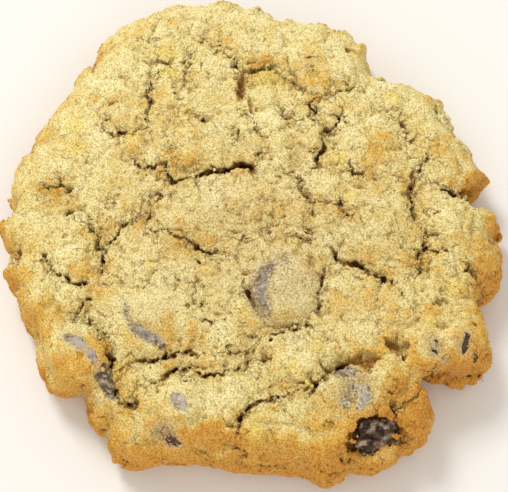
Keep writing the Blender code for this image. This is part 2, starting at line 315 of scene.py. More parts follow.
# The soft mounds that the surface is made of: x and y on the picture's grid, radius
mounds = (
    # back left
    (-27, 40, 5), (-21, 43.5, 4), (-15, 43, 4), (-25, 35, 5.5), (-19.5, 38.8, 3.2), (-31, 31, 4),
    (-25.5, 28.5, 5), (-30.5, 26, 3.2), (-22.8, 24, 3.2), (-16.2, 37.3, 3), (-16, 32, 3.4),
    (-16.8, 27.5, 3.2), (-17, 23.5, 2.6), (-33, 21, 3.8), (-37.5, 22.2, 2.5), (-29.5, 17.5, 4),
    (-22.3, 18.2, 2.4), (-19, 18.5, 1.7), (-17.3, 17, 2), (-38.3, 17, 3.2), (-34.5, 14.5, 3),
    (-40.5, 12, 2.8), (-31, 13.3, 2.8),
    # back middle
    (-8.5, 44, 4.5), (-3, 43.5, 4), (3, 42, 4.5), (8.5, 40, 4), (-12.5, 39.8, 2.8), (-2.5, 39, 3.5),
    (3, 37, 3.5), (-8, 34.5, 4), (-10.5, 30.5, 2.5), (-6.2, 29.5, 3), (-9.5, 26.5, 3.8),
    (-4.5, 25.5, 2.3), (2.3, 31.3, 2.6), (9.5, 36.5, 3.6), (12.5, 32, 4), (15.5, 37, 3.5), (7, 33, 2.2),
    (4.5, 28.5, 3.6), (8.5, 26, 2.8), (2, 25.8, 2), (3.5, 22.8, 2.6), (6.8, 24.3, 1.6), (17.5, 33, 3.5),
    (-12, 20, 3.8), (-6, 20.5, 3.6), (-1, 21, 2.4), (4, 19.5, 3.6), (9, 19.8, 2.6), (-8, 16, 3.8),
    (-2, 16.3, 3.2), (3.5, 15.3, 2.4), (-13.5, 13.6, 3.2), (-19.5, 14.8, 2.4), (-13.5, 24, 2.4),
    (7, 16.3, 2.2),
    # back right
    (19.5, 36, 2.4), (21, 33, 2), (25.5, 30, 1.8), (23.5, 27.5, 2.8), (18.5, 25.5, 3.6),
    (14.3, 24.8, 2.6), (22, 21.8, 3.8), (14.6, 22.2, 1.6), (29, 27.5, 2.8), (33, 26.5, 3.4),
    (29.5, 23, 2.8), (34, 22, 3.4), (17.2, 18, 3), (24, 18.2, 3.2), (15.6, 14.6, 2.4), (22.5, 14, 3.2),
    (30.5, 17.5, 3.3), (36.5, 18.5, 2.6), (35.5, 14.2, 3.4), (26.2, 14.5, 2.6), (40, 13, 2.4),
    (32.4, 12.6, 1.8),
    # left
    (-26.5, 12, 3.6), (-22, 9.2, 2.8), (-30.5, 8.6, 2.4), (-27, 8, 2.2), (-37.8, 12.4, 2.2),
    (-42, 7, 3), (-37.2, 6.4, 3.2), (-32.6, 5.6, 1.8), (-28.5, 4.6, 2.3), (-24.2, 3.8, 2.4),
    (-21, 5.6, 2.2), (-38.5, 1.8, 4), (-33, 0.8, 2.4), (-26, 1.6, 1.9), (-43, 1, 2.8), (-18, 10, 2.2),
    (-34, -4.5, 4.2), (-30.4, -6.6, 2.8), (-39.5, -7, 3.4), (-43.5, -9, 2.3), (-37, -13, 3.8),
    (-41, -13.5, 2.4), (-33, -12.6, 2.4), (-25.8, -12, 3.2), (-29.6, -2.6, 1.6), (-36, -17.6, 3),
    (-40, -17, 2.4), (-28.4, -15.6, 1.8),
    # middle
    (-12.5, 7, 3.4), (-7.5, 7.5, 3.8), (-2.5, 7, 3.2), (1.9, 7.4, 2.1), (6, 7.2, 2.4),
    (-14.5, 3.6, 2.8), (-9, 3, 3.8), (-4, 3.5, 2.8), (1.5, 3.6, 2.4), (6, 3.2, 2.8), (12.4, 8, 2.8),
    (17.9, 6, 2.5), (14.9, 7.2, 1.3), (12.8, 1.5, 3.3), (22, 8.5, 3.4), (26, 6, 2.8), (17, 0.8, 3.4),
    (22.5, 2, 3), (26.5, 0.5, 2.8), (7, -0.2, 1.8), (2, -1.8, 2.3), (-3, -3, 2.3), (-7, -1.5, 3.2),
    (-12.5, 0.4, 2.6), (-20, -3, 4.2), (-14.8, -4.2, 3), (-23.5, -6.2, 2.8), (-18.7, -7.2, 2),
    (-13.6, -7.6, 2.6), (-8, -8, 2.8), (-22.5, -13.2, 3), (-17, -12.5, 3.4), (-12.6, -13, 2.6),
    (-6.5, -13.5, 2.9), (-3.6, -8.5, 2.6), (-3, -17.4, 3), (-8, -16.6, 2.6), (5.6, -11, 5),
    (8, -3.4, 1.9), (12, -3.2, 2.6), (3.4, -4.6, 2), (-1.4, -5.6, 2), (-20.5, -16.8, 3.8),
    (-15.5, -17.5, 2.4), (-25.6, -16.6, 2.6), (-24, -21, 2.4), (-19.5, -21.2, 2.8), (-14, -20.6, 2.8),
    (-9, -20.6, 2.8), (-3.6, -20.6, 2.6),
    # right
    (19, -3.4, 3.8), (23.4, -5, 2.4), (26.6, -3.6, 3), (27, -7.6, 2.8), (16, -9.8, 3), (20, -11.2, 3),
    (24.6, -13, 2.8), (15, -14.5, 2.9), (19.5, -15.5, 3.1), (24.5, -17.5, 3.2), (29, -14.4, 2.8),
    (33.6, -5.2, 2.8), (33.2, -9, 3.2), (35.5, 1.5, 3.6), (33, 6.6, 3), (37.5, 5, 2.8), (40, 0.4, 2.6),
    (43.8, 1.8, 2.1), (33.6, -1.6, 1.8), (36.4, -10.8, 1.9), (38.4, -5, 2.2), (43, -5.5, 2.7),
    (42.8, -9.5, 2.4), (38.6, -13.4, 2.2), (29.6, -10.6, 2.2), (31.4, -16.4, 2.8), (36, -17.2, 2.5),
    (40.5, -18, 2), (41.2, -13.4, 1.8), (31, -22.5, 2.8), (35, -20.4, 2.2), (37.6, -22.2, 1.9),
    (40.6, -21.6, 2), (40.4, -25, 2.1), (36.6, -26.6, 2.1), (32.8, -27.2, 1.8), (30.4, -26.4, 1.5),
    # front
    (13.5, -18.6, 2.9), (18, -19.6, 3.1), (8.6, -21.6, 2.4), (13.2, -22.6, 2.3), (6, -23, 2),
    (10, -25.8, 2.6), (5, -27.6, 3.4), (0.4, -28, 3), (-4.4, -29.6, 2.9), (-9, -31, 3.4),
    (-13.3, -32.2, 3.2), (-14.5, -25, 1.7), (-9, -25, 1.7), (-3.8, -25, 2.2), (23.5, -26, 3.5),
    (27.6, -27, 3.2), (25.6, -30.6, 2), (21.8, -31.4, 2.2), (21.6, -21.6, 2.4), (17.3, -30.4, 4),
    (28.4, -33, 2.8), (30.2, -35.2, 1.8), (28, -37.2, 2.8), (25.2, -36, 1.5), (18.4, -35.6, 1.8),
    (14.5, -37, 2.8), (-19, -33.2, 3.7), (-23.2, -34.6, 2), (-17, -37.4, 2.6), (-8, -37.4, 3.8),
    (3, -35, 3), (8, -33.6, 3.4), (1, -37.8, 2), (5.6, -38.6, 3), (10.2, -38.6, 2.9), (-12.5, -41, 2.6),
    (-5.4, -41.6, 2.6), (-0.6, -42, 2.4), (4.6, -42.6, 2.7), (10, -42.6, 2.4), (14.6, -43.6, 2),
    (13, -46.4, 2.4), (19, -44, 2.4), (22.6, -43, 1.8), (-19.5, -41.6, 2.6), (-23.8, -41, 2.4),
    (-26.4, -36.6, 2.2), (-27.4, -33, 2.4), (-15.6, -43, 1.8), (-31.5, -24, 4.4), (-33, -28.2, 3.2),
    (-36.8, -24, 1.8), (-36.4, -29, 1.6), (-29, -28.4, 2.4), (-28.6, -31.4, 1.6), (-22.4, -28.6, 2.4),
    (-38.2, -20.4, 1.8),
)
moundForm = {
    "dome": 0.36,              # height of a mound on the top, and on the walls
    "sideDome": 1.0,
    "crease": 0.8,             # depth and half width of the groove between two
    "creaseWidth": 0.26,
    "unevenness": 0.4,         # how much higher or lower than its neighbours one stands
    "tilt": 0.22,              # how far one tips, any way, and up at the back
    "back": 0.32,
    "sway": 0.75,              # how far their outlines waver, and the width of that
    "swayWidth": 4.5,
    "crumbly": (0.3, 0.22),    # how crumbly they are, coarse and fine, and the widths of that
    "crumbWidths": (1.7, 0.9),
    "crackRun": 2.2,           # they stand out this far from a crack, and keep this share elsewhere
    "calm": 0.4,
    "faint": 0.12,             # the share that the grooves keep where they are faintest
    "wall": (8.0, 13.0),       # heights over which the top turns into the walls
    "drawnIn": 0.52,           # what the walls give up for the mounds to stand on
    "baked": (-0.6, 1.0),      # paler to darker ones
    "hidden": 3.2,             # radius on the rest of the wall, its share from least to most, and how high
    "hiddenShare": (0.35, 1.35),
    "hiddenHeights": (1.0, 12.0),
    "tries": 2500,
}


def moundPlaces():
    # the mounds in the picture, then others of about the same size over the rest of the wall
    places = [tuple(onCookie(x, y)) + (r,) for x, y, r in mounds]
    draw = np.random.default_rng(randomSeed + 40)
    for _ in range(moundForm["tries"]):
        angle, height = draw.uniform(0.0, 2.0 * math.pi), draw.uniform(*moundForm["hiddenHeights"])
        out = float(plainRadius(height) * rimGrowth(math.degrees(angle)))
        spot = (out * math.cos(angle), out * math.sin(angle), height)
        size = moundForm["hidden"] * draw.uniform(*moundForm["hiddenShare"])
        if all(math.dist(spot, p[:3]) > 0.95 * (size + p[3]) for p in places):
            places.append(spot + (size,))
    return places


def raiseMounds():
    m = moundForm
    nearest = np.full(field.shape, 90.0, np.float32)
    second = np.full(field.shape, 190.0, np.float32)
    offset = np.zeros(field.shape, np.float32)
    size = np.full(field.shape, 3.0, np.float32)
    baked = np.zeros(field.shape, np.float32)
    coarse, fine = m["crumbly"]
    coarseWidth, fineWidth = m["crumbWidths"]
    crumbly = coarse * softNoise(coarseWidth, 12) + fine * softNoise(fineWidth, 16)
    swayX = m["sway"] * softNoise(m["swayWidth"], 11) + crumbly
    swayY = m["sway"] * softNoise(m["swayWidth"], 13) - crumbly
    draw = np.random.default_rng(randomSeed + 41)
    places = moundPlaces()
    for x, y, z, r in places:
        lift = float(np.clip(draw.normal(), -1.6, 1.6)) * m["unevenness"]
        w = windowAround([c - r - 5.0 for c in (x, y, z)], [c + r + 5.0 for c in (x, y, z)])
        away = np.sqrt((gx[w[0]] + swayX[w] - x) ** 2 + (gy[:, w[1]] + swayY[w] - y) ** 2
                       + (gz[:, :, w[2]] - 0.5 * swayX[w] - z) ** 2) - r
        # each is tipped a little, more of them up at the back
        tipX, tipY = draw.normal(0.0, m["tilt"], 2) / r
        tipY += m["back"] / r
        closer = away < nearest[w]
        second[w] = np.where(closer, nearest[w], np.minimum(second[w], away))
        nearest[w] = np.where(closer, away, nearest[w])
        offset[w] = np.where(closer, lift + tipX * (gx[w[0]] - x) + tipY * (gy[:, w[1]] - y), offset[w])
        size[w] = np.where(closer, r, size[w])
        baked[w] = np.where(closer, draw.uniform(*m["baked"]), baked[w])
    tell(f"{len(places)} mounds")
    # they stand out most beside cracks and on the walls, and are only hinted at elsewhere
    edge = 0.5 * (second - nearest)
    low = 1.0 - smoothStep(gz, *m["wall"])
    crumbled = np.maximum(np.exp(-(crackGap / m["crackRun"]) ** 2)[:, :, None], low)
    standing = m["calm"] + (1.0 - m["calm"]) * crumbled
    patchy = smoothStep(softNoise(m["swayWidth"], 14), 0.0, 0.9)
    strong = (m["faint"] + (1.0 - m["faint"]) * patchy) * (standing - 0.3 * low)
    centre = np.clip((nearest + size) / (size + 1.2), 0.0, 1.0)
    dome = m["dome"] + (m["sideDome"] - m["dome"]) * low
    rise = dome * (1.0 - centre ** 3) * np.clip(size / 3.0, 0.6, 1.3)
    crease = m["crease"] * strong * np.exp(-edge / m["creaseWidth"])
    rise += standing * (1.0 - 0.2 * low) * offset - crease
    rise = np.where(nearest > 50.0, 0.0, rise) * smoothStep(gz, 0.2, 2.5) - m["drawnIn"] * low
    baked *= 1.0 - np.exp(-np.clip(edge, 0.0, 9.0) / 0.7)
    return (field - rise).astype(np.float32), baked


# How ragged cuts and lumps are, and how much a crack pinches in and opens along its way
ragged = 0.6 * softNoise(1.6, 1, flat=True) + 0.55 * softNoise(0.8, 2, flat=True)
pinch = np.clip(0.8 + 0.35 * softNoise(3.4, 3, flat=True), 0.25, 1.3)


def stamp(place, radii, turn, blend, cut=False):
    # adds or cuts an ellipsoid; turn is in degrees about the upright
    reach = max(radii) + 2.0 * blend
    spans = windowAround([p - reach for p in place], [p + reach for p in place])
    x, y, z = gx[spans[0]] - place[0], gy[:, spans[1]] - place[1], gz[:, :, spans[2]] - place[2]
    c, s = math.cos(math.radians(turn)), math.sin(math.radians(turn))
    sway = (0.35 if cut else 0.2) * min(radii[0], 1.6) * ragged[spans[:2]][:, :, None]
    u, v = c * x + s * y + sway, c * y - s * x - 0.6 * sway
    wide, long, high = radii
    out = np.sqrt((u / wide) ** 2 + (v / long) ** 2 + (z / high) ** 2) + 1e-4
    steep = np.sqrt((u / wide ** 2) ** 2 + (v / long ** 2) ** 2 + (z / high ** 2) ** 2) + 1e-4
    shape = out * (out - 1.0) / steep
    if cut:
        field[spans] = smoothMax(field[spans], -shape, blend)
    else:
        field[spans] = smoothMin(field[spans], shape, blend)


crackForm = {
    "waver": 0.27,             # how far a crack strays from its points
    "half": 0.42,              # its half width, over the width, and how ragged that is
    "ragged": 0.3,
    "ends": 0.4,               # the share of its width and of its depth that is left at the ends
    "endsDeep": 0.35,
    "lipRun": 1.5,             # over how far from it the lip, the rounding and the step fade
    "rollRun": 1.1,
    "stepRun": 2.2,
    "fullRoll": 1.6,           # depth from which on the plate behind rounds down in full
    "mouth": 0.06,             # how much wider it is at its mouth
    "mouthDepth": 0.3,
}


def crackPath(places):
    # the points joined, split finely and moved a little to and fro
    salt = int(1000 + 10 * abs(places[0][0]) + abs(places[0][1]))
    draw = np.random.default_rng(randomSeed + salt)
    path = np.array([onCookie(x, y)[:2] for x, y in places])
    waver = crackForm["waver"]
    for _ in range(3):
        middles = 0.5 * (path[1:] + path[:-1])
        middles += draw.normal(0.0, waver, middles.shape)
        joined = np.empty((2 * len(path) - 1, 2))
        joined[0::2], joined[1::2] = path, middles
        path = joined
        waver *= 0.7
    return path


def alongPath(x, y, path):
    # distance to the path, how far along it the nearest place is, from 0 to 1, then 1 behind the path
    # and -1 before it, and 1 or -1 for its left and right
    nearest = np.full(np.broadcast(x, y).shape, 1e9)
    along, behind, side = np.zeros(nearest.shape), np.ones(nearest.shape), np.ones(nearest.shape)
    last = len(path) - 1
    for i in range(last):
        start, run = path[i], path[i + 1] - path[i]
        t = np.clip(((x - start[0]) * run[0] + (y - start[1]) * run[1]) / (run @ run + 1e-9), 0.0, 1.0)
        dx, dy = x - start[0] - t * run[0], y - start[1] - t * run[1]
        gap = np.hypot(dx, dy)
        closer = gap < nearest
        nearest[closer] = gap[closer]
        along[closer] = ((i + t) / last)[closer]
        behind[closer] = np.sign(dy - 0.35 * dx)[closer]
        side[closer] = np.sign(run[0] * dy - run[1] * dx)[closer]
    return nearest, along, behind, side


def cutCrack(width, depth, places, lean=(0.0, 0.3), lip=0.2, roll=0.55, step=0.0):
    # a ragged slit that narrows downwards: lean is how far it runs sideways for each mm down, lip how far
    # the plate in front stands up at its edge, roll how far the one behind rounds down, and step how much
    # higher that one is
    m = crackForm
    path = crackPath(places)
    pad = 3.0 + depth * 0.5
    spans = windowAround(path.min(0) - pad, path.max(0) + pad)
    x, y = fx[spans[0]], fy[:, spans[1]]
    gap, along, behind, _ = alongPath(x, y, path)
    taper = np.sqrt(np.clip(4.0 * along * (1.0 - along), 0.0, 1.0))
    half = m["half"] * width * (m["ends"] + (1.0 - m["ends"]) * taper) * pinch[spans]
    half = half + m["ragged"] * min(width, 1.2) * ragged[spans]
    rounded = step * np.exp(-(gap / m["stepRun"]) ** 2)
    rounded = rounded - roll * min(depth / m["fullRoll"], 1.0) * np.exp(-gap / m["rollRun"])
    lift = taper * np.where(behind > 0, rounded, lip * np.exp(-(gap / m["lipRun"]) ** 2))
    high = topMap[spans]
    middle = float(np.median(high[gap < 1.5])) if (gap < 1.5).any() else 14.0
    first, last = np.searchsorted(zs, (middle - depth - 3.5, middle + 3.0))
    deep = depth * (m["endsDeep"] + (1.0 - m["endsDeep"]) * taper) * pinch[spans]
    for k in range(max(first, 0), min(last, len(zs))):
        down = high - zs[k]
        shift = np.round(np.array(lean) * (middle - zs[k]) / stepSize).astype(int)
        beside, reach, floor = (np.roll(a, shift, (0, 1)) for a in (gap, half, deep))
        share = np.clip(1.0 - np.maximum(down, 0.0) / np.maximum(floor, 0.3), 0.0, 1.0)
        wide = reach * np.sqrt(share) + m["mouth"] * np.exp(-np.maximum(down, 0.0) / m["mouthDepth"])
        cut = np.maximum(beside - wide, down - floor)
        here = field[spans[0], spans[1], k] - lift * (np.abs(down) < 2.5)
        field[spans[0], spans[1], k] = np.maximum(here, -cut)


# Cracks of the top: width, depth, points on the picture's grid, and for one of them the rest of what
# cutCrack takes
cracks = (
    # the crevice across the middle
    (0.9, 2.6, ((-16.1, 11.5), (-15, 10.3), (-14.3, 9.4), (-12.8, 9.8), (-11.7, 9.9), (-10.2, 10.8),
        (-8, 11.9))),
    (1.7, 3.4, ((-9, 11.6), (-7, 11.8), (-5, 11.5), (-3, 12.3), (-0.3, 12.2), (0.6, 11))),
    (0.5, 1.2, ((-16.2, 13.6), (-18.5, 12.6), (-20, 12.4), (-21.4, 14))),
    (0.5, 1.2, ((-16.1, 11.5), (-16.2, 13.6))),
    # behind it, left to right
    (1.2, 1.8, ((-9.8, 40), (-7.8, 38.6), (-7.2, 37))),
    (0.8, 1.3, ((-5.7, 36.7), (-4.6, 35.7), (-3, 34.8), (-2.7, 33))),
    (0.6, 1.4, ((-1.6, 23.7), (0, 22), (0.3, 20.2), (1.2, 19))),
    (0.7, 1.3, ((-1.2, 32.5), (0.3, 32.8), (2, 33.1), (2.8, 33.6), (5, 32), (5.9, 30.7), (7.1, 30.8),
        (8.2, 29.3), (9.3, 27.9))),
    (0.4, 0.9, ((9.9, 35.5), (11.1, 35.9), (12.5, 35.8))),
    (0.9, 1.7, ((18.9, 29.3), (17, 28.1), (15.6, 27.7), (13.4, 27.4), (12, 26.8), (10.8, 26.2),
        (10.7, 24.7), (10.2, 22.8), (11.2, 22), (12, 20.8))),
    (1.2, 1.5, ((12.9, 20.5), (12.5, 18.5), (12.3, 15.7), (11.8, 14), (11.4, 12.8))),
    (0.6, 1.3, ((4.5, 24.9), (5.5, 23.5), (5.9, 22.8), (6.6, 22.3), (8, 21.7), (9.1, 22.2),
        (10.2, 22.8))),
    (0.4, 0.9, ((15.5, 22.9), (17.4, 23.2))),
    (0.45, 1.0, ((17.6, 13.9), (18.1, 12.5), (18.2, 11), (20.3, 10.8))),
    (0.45, 0.9, ((28.6, 18.5), (30.1, 19.3))),
    (1.0, 0.8, ((25.3, 23.6), (27.4, 21.9), (28.6, 20))),
    (0.6, 1.2, ((-11.3, 23.2), (-10.2, 23), (-9.6, 22.2), (-7.9, 21.9))),
    (0.4, 0.9, ((-2.9, 19.8), (-3.1, 17.9))),
    (0.4, 0.9, ((-15.4, 16.2), (-15, 15))),
    (0.4, 0.9, ((0.1, 15), (1.2, 15.6))),
    (1.0, 0.7, ((-11.4, 37.2), (-12, 35.9), (-12.1, 34.3), (-13.1, 32.9), (-12.8, 30.5),
        (-13.9, 28.6))),
    (0.9, 0.8, ((-18.5, 35.8), (-16.8, 34.8), (-15.7, 34))),
    (0.6, 1.0, ((-18, 32.5), (-17.7, 31.3), (-18.5, 30.3), (-19.6, 29), (-20, 28), (-19.5, 26.8),
        (-19.9, 24.8), (-20.1, 22.7))),
    (0.7, 1.2, ((-20, 21.5), (-22, 20.4), (-24.1, 19.5), (-25, 20), (-26.7, 20), (-28, 20.9),
        (-28.3, 22.1))),
    # the left side
    (0.7, 1.1, ((-39, 10), (-36.8, 9), (-34.2, 8.9))),
    (1.1, 1.0, ((-33.8, 4.4), (-32.5, 2.2))),
    (0.45, 0.9, ((-26.8, 6.8), (-26, 6.4), (-25.4, 5.5))),
    (1.2, 2.2, ((-31, 1.7), (-29.6, 1), (-28.8, -0.5), (-27.9, -1.6), (-28.1, -3.6), (-27.2, -5),
        (-27.3, -8.6))),
    (0.8, 1.9, ((-27, -5), (-26, -3), (-25.3, -1.6), (-24.5, -0.5), (-22.9, 1.6), (-21.6, 2.1),
        (-19.2, 2.3), (-18.8, 4.1), (-18.2, 6), (-17, 7), (-15, 7.2))),
    (0.7, 1.5, ((-18.8, 0.3), (-16.5, 0.1), (-15, -0.8), (-12.8, -1.7), (-11.2, -2.6), (-10.2, -3.7),
        (-9.2, -4.1), (-7.8, -5), (-6.2, -4.6), (-5.1, -4.8))),
    (0.9, 1.7, ((-38.1, -4.5), (-37.5, -5.8), (-36.3, -7.6), (-34.6, -8.1), (-33.1, -9.7), (-30, -10))),
    (0.9, 1.5, ((-30, -13.5), (-31.4, -15.5), (-31.8, -17.5))),
    (0.8, 1.9, ((-29.4, -16.8), (-29.2, -17.6), (-28.1, -18.1), (-28, -19), (-27.4, -20.4),
        (-26.4, -21), (-25.8, -22.5))),
    (1.5, 2.6, ((-25.8, -23.4), (-25.5, -25.4), (-24.8, -28.2), (-24.4, -30), (-23.5, -31.6))),
    (1.1, 2.4, ((-22.8, -32.4), (-21.9, -32.3), (-20.5, -30.8))),
    # the rope-like ridge between two long cracks in front
    (0.8, 2.1, ((-23.6, -26.5), (-20.4, -24.5), (-16.4, -24.3), (-14.6, -23.7), (-12.5, -23),
        (-11.1, -23.1), (-9.8, -23.6))),
    (0.9, 1.2, ((-5.8, -23.4), (-4.4, -23.2), (-1.5, -22.6))),
    (0.8, 2.0, ((-19, -29.3), (-15.8, -27.6), (-14.1, -26.5), (-12.1, -26.1), (-10.6, -26.3),
        (-8.3, -27.3), (-6.8, -27.1), (-5.2, -26.6), (-1.7, -26.6), (0.3, -24.8), (3, -24.1))),
    (0.5, 1.1, ((-13.9, -9.4), (-12.4, -10.5), (-10.8, -10.1), (-10.3, -11.4), (-10.9, -13.5),
        (-10.5, -14.3))),
    (0.55, 1.3, ((-1.9, -9.9), (-1.5, -11.6), (-0.7, -13.1), (0.1, -14.6))),
    (0.45, 0.9, ((-8.8, -17.2), (-7.6, -18.3))),
    # right of the middle
    (1.4, 1.6, ((5.8, 10.9), (7.3, 10.4), (8.2, 9.5), (9, 7.4), (9.6, 5.8), (10.6, 5), (13.1, 5),
        (15, 4.8), (15.8, 3.4), (16.9, 2.7), (18, 2.5))),
    (0.4, 0.9, ((10.7, 3.8), (10.4, 2.6))),
    (0.4, 0.9, ((10.1, -0.1), (10.1, -1))),
    (0.6, 1.1, ((1.3, 0.3), (2.8, 1), (4.4, 1.3))),
    (0.5, 1.0, ((5.3, -1.9), (7.4, -1), (8.4, -1.9), (9.6, -1.9))),
    (0.4, 0.9, ((-3.6, -1.5), (-2, -1.7), (-0.9, -1.5))),
    (1.4, 2.3, ((14.1, -3.7), (14.9, -4.8), (16, -6.1), (17.9, -6.5), (19.5, -7.3), (20.5, -8.2),
        (22.5, -8.5), (23.5, -9.9), (24.5, -10.5))),
    (0.7, 1.2, ((13.5, -7), (12.9, -8.3), (12.2, -9), (11.4, -12), (11, -13.1), (11.3, -15))),
    (0.6, 1.3, ((10.3, -18.4), (8.5, -18.2), (7.6, -18.7), (6.4, -19.2), (4.6, -19.5), (2.9, -20.1))),
    (0.4, 0.9, ((0.4, -20.1), (-0.5, -19.9))),
    (1.6, 1.7, ((30.9, 13.6), (30.5, 12), (29.5, 10.4), (29, 8.6), (28.8, 6.3), (28.7, 4.5),
        (29.2, 2.3))),
    (0.9, 1.8, ((31.8, 15.6), (31, 13.6), (30.4, 11.8), (29.6, 10.2))),
    (0.8, 1.7, ((31.3, 0.2), (31.5, -1.2), (30.4, -1.9), (31.2, -3.4), (30.1, -3.9), (29.8, -5.4),
        (30.1, -6.7), (29.9, -7.8), (28.7, -9.2))),
    (0.45, 1.0, ((30.6, -3.6), (31.6, -3.7), (33.4, -4))),
    (1.0, 1.4, ((37.4, -5.4), (38.6, -6.5), (39.4, -7.6), (40.1, -9.3), (41, -11.5))),
    # the front
    (0.9, 1.9, ((16.2, -25.6), (14.7, -26.4), (13.4, -27.2), (12.3, -28.3))),
    (0.8, 2.0, ((11.2, -28.5), (10.9, -28.9), (10, -30.7))),
    (0.8, 1.9, ((7.6, -30), (4.5, -31.5), (3.3, -32.1), (0.5, -32.3), (-0.5, -32.9), (-1.1, -34.1))),
    (1.3, 1.5, ((-2.2, -33.8), (-2.5, -35.2), (-2.8, -38))),
    (0.45, 0.9, ((12.6, -35.2), (13.4, -36))),
    (0.9, 2.2, ((24.1, -31.2), (24.4, -33.4), (24.9, -35), (25.6, -36.8), (26.4, -38.8))),
    (0.6, 1.0, ((24.8, -32.6), (26.5, -31.6), (28.6, -31), (30.4, -30))),
    # under the lip at the right
    (1.4, 2.6, ((33.8, 10), (35.4, 9.2), (37, 8), (38.6, 6.8), (40.2, 5.6), (42, 4.8)),
        (0.0, 0.2), 0.1, 0.2, 1.4),
)

# Pits and hollows: x, y on the picture's grid, half width, half length, depth, turn
pits = (
    (-2.4, 30.0, 1.0, 3.6, 2.7, -6), (-0.6, 25.6, 0.5, 2.4, 1.6, 12), (13.6, 20.5, 1.2, 0.8, 2.2, 0),
    (-34.0, 8.5, 1.0, 0.9, 1.6, 0), (-9.9, -6.2, 0.3, 0.6, 1.2, 50), (-29.5, -12.8, 0.6, 0.4, 1.6, 20),
    (-25.9, -23.5, 0.8, 0.7, 2.2, 0), (-21.9, -32.2, 1.3, 0.9, 2.4, 20),
    (-19.5, -24.2, 1.4, 0.6, 2.4, 8), (2.8, -20.9, 0.6, 0.3, 1.2, 15), (29.8, -5.4, 0.4, 0.8, 1.8, 20),
    (33.5, -13.2, 1.5, 1.0, 1.7, 20), (35.2, -14.0, 2.2, 1.4, 1.0, 0),
    (15.6, -25.2, 0.6, 0.35, 1.3, -35), (19.2, -24.6, 2.6, 1.6, 2.4, 12),
    (19.8, -26.0, 0.8, 0.7, 3.0, 0), (25.3, -21.8, 2.4, 1.7, 2.2, -20), (26.6, -24.0, 0.6, 0.8, 2.4, 0),
    (24.4, -32.3, 0.5, 1.1, 2.2, 0), (24.6, -34.8, 0.4, 0.5, 1.5, 0), (15.9, -42.0, 1.3, 0.7, 2.0, 10),
    (38.8, -23.7, 0.8, 0.8, 1.6, 0), (39.5, -17.3, 0.7, 0.4, 1.4, -30),
    (34.1, -17.9, 0.8, 0.35, 1.4, 30), (8.6, 14.2, 2.2, 3.4, 1.0, 10), (18.4, 37.7, 1.4, 0.9, 1.3, 0),
    (38.8, 7.6, 3.8, 1.7, 1.8, -22), (42.0, 6.0, 2.4, 1.5, 2.6, -20), (18.2, -27.2, 0.7, 0.4, 2.2, 20),
    (20.4, -26.6, 0.6, 0.4, 2.0, -10),
)

# Bits of oat and peanut, and small boulders: x, y, half width, half length, height, turn
lumps = (
    (2.2, 31.3, 3.1, 1.4, 1.5, 8), (1.9, 7.5, 2.1, 2.0, 1.5, 0), (18.2, 5.8, 2.5, 2.4, 1.1, 0),
    (15.1, 7.0, 1.3, 1.2, 0.9, 0), (-22.2, 17.6, 1.8, 2.5, 1.1, 0), (-27.2, 24.9, 1.1, 1.0, 0.9, 0),
    (7.3, -3.3, 1.6, 1.1, 1.0, 20), (-8.3, -7.9, 1.6, 1.4, 1.0, 0), (-18.6, -7.3, 1.8, 1.3, 0.9, 0),
    (-16.0, -17.4, 1.6, 1.4, 0.8, 0), (-37.0, -12.6, 1.1, 1.0, 0.9, 0), (0.7, -37.8, 2.0, 1.3, 1.2, 15),
    (36.3, -10.6, 2.0, 1.9, 1.6, 20), (13.2, 7.6, 1.0, 1.0, 0.8, 0), (-13.4, 9.0, 1.0, 0.7, 0.9, 0),
    (33.0, -27.2, 1.7, 1.3, 1.5, 0), (36.0, -27.8, 1.8, 1.3, 1.5, 10), (38.9, -27.4, 1.5, 1.2, 1.3, 0),
    (30.8, -26.7, 1.4, 1.2, 1.2, 0),
)


def crackMap():
    # distance to the cracks of the top, over their width, and in mm with a sign for the side
    gap = np.full((len(xs), len(ys)), 20.0)
    line = gap.copy()
    for width, _, places in (crack[:3] for crack in cracks):
        path = crackPath(places)
        spans = windowAround(path.min(0) - 8.0, path.max(0) + 8.0)
        away, _, _, side = alongPath(fx[spans[0]], fy[:, spans[1]], path)
        gap[spans] = np.minimum(gap[spans], away / min(0.5 + width, 1.4))
        line[spans] = np.where(away < np.abs(line[spans]), away * side, line[spans])
    return gap.astype(np.float32), line


def cutPits():
    for x, y, wide, long, deep, turn in pits:
        place = onCookie(x, y)
        stamp(place + (0, 0, 0.15 * deep), (wide, long, deep * 1.05), turn, 0.2, cut=True)


def addLumps():
    for x, y, wide, long, high, turn in lumps:
        place = onCookie(x, y)
        stamp(place + (0, 0, -0.25 * high), (wide, long, high * 1.1), turn, 0.45)


def cellNoise(points, width, salt):
    # scattered centres, one to a cell: distance to the two nearest over the spacing, and a random value
    # that belongs to the nearest. The large numbers scramble a cell's place into a random one.
    cell = np.floor(points / width).astype(np.int64)
    near = np.full(len(points), 9.0, np.float32)
    second = near.copy()
    lift = np.zeros(len(points), np.float32)
    for i in (-1, 0, 1):
        for j in (-1, 0, 1):
            for k in (-1, 0, 1):
                corner = cell + (i, j, k)
                code = corner[:, 0] * 73856093 ^ corner[:, 1] * 19349663 ^ corner[:, 2] * 83492791 ^ salt
                away = np.zeros(len(points), np.float32)
                for axis in range(3):
                    code = (code * 1103515245 + 12345 + axis) & 0x7FFFFFFF
                    centre = corner[:, axis] + 0.1 + 0.8 * ((code >> 8) & 0xFFFF) / 65535.0
                    away += ((points[:, axis] / width - centre) ** 2).astype(np.float32)
                away = np.sqrt(away)
                closer = away < near
                second = np.where(closer, near, np.minimum(second, away))
                near = np.where(closer, away, near)
                lift = np.where(closer, ((code >> 10) & 0xFFF) / 2047.5 - 1.0, lift).astype(np.float32)
    return near, second, lift


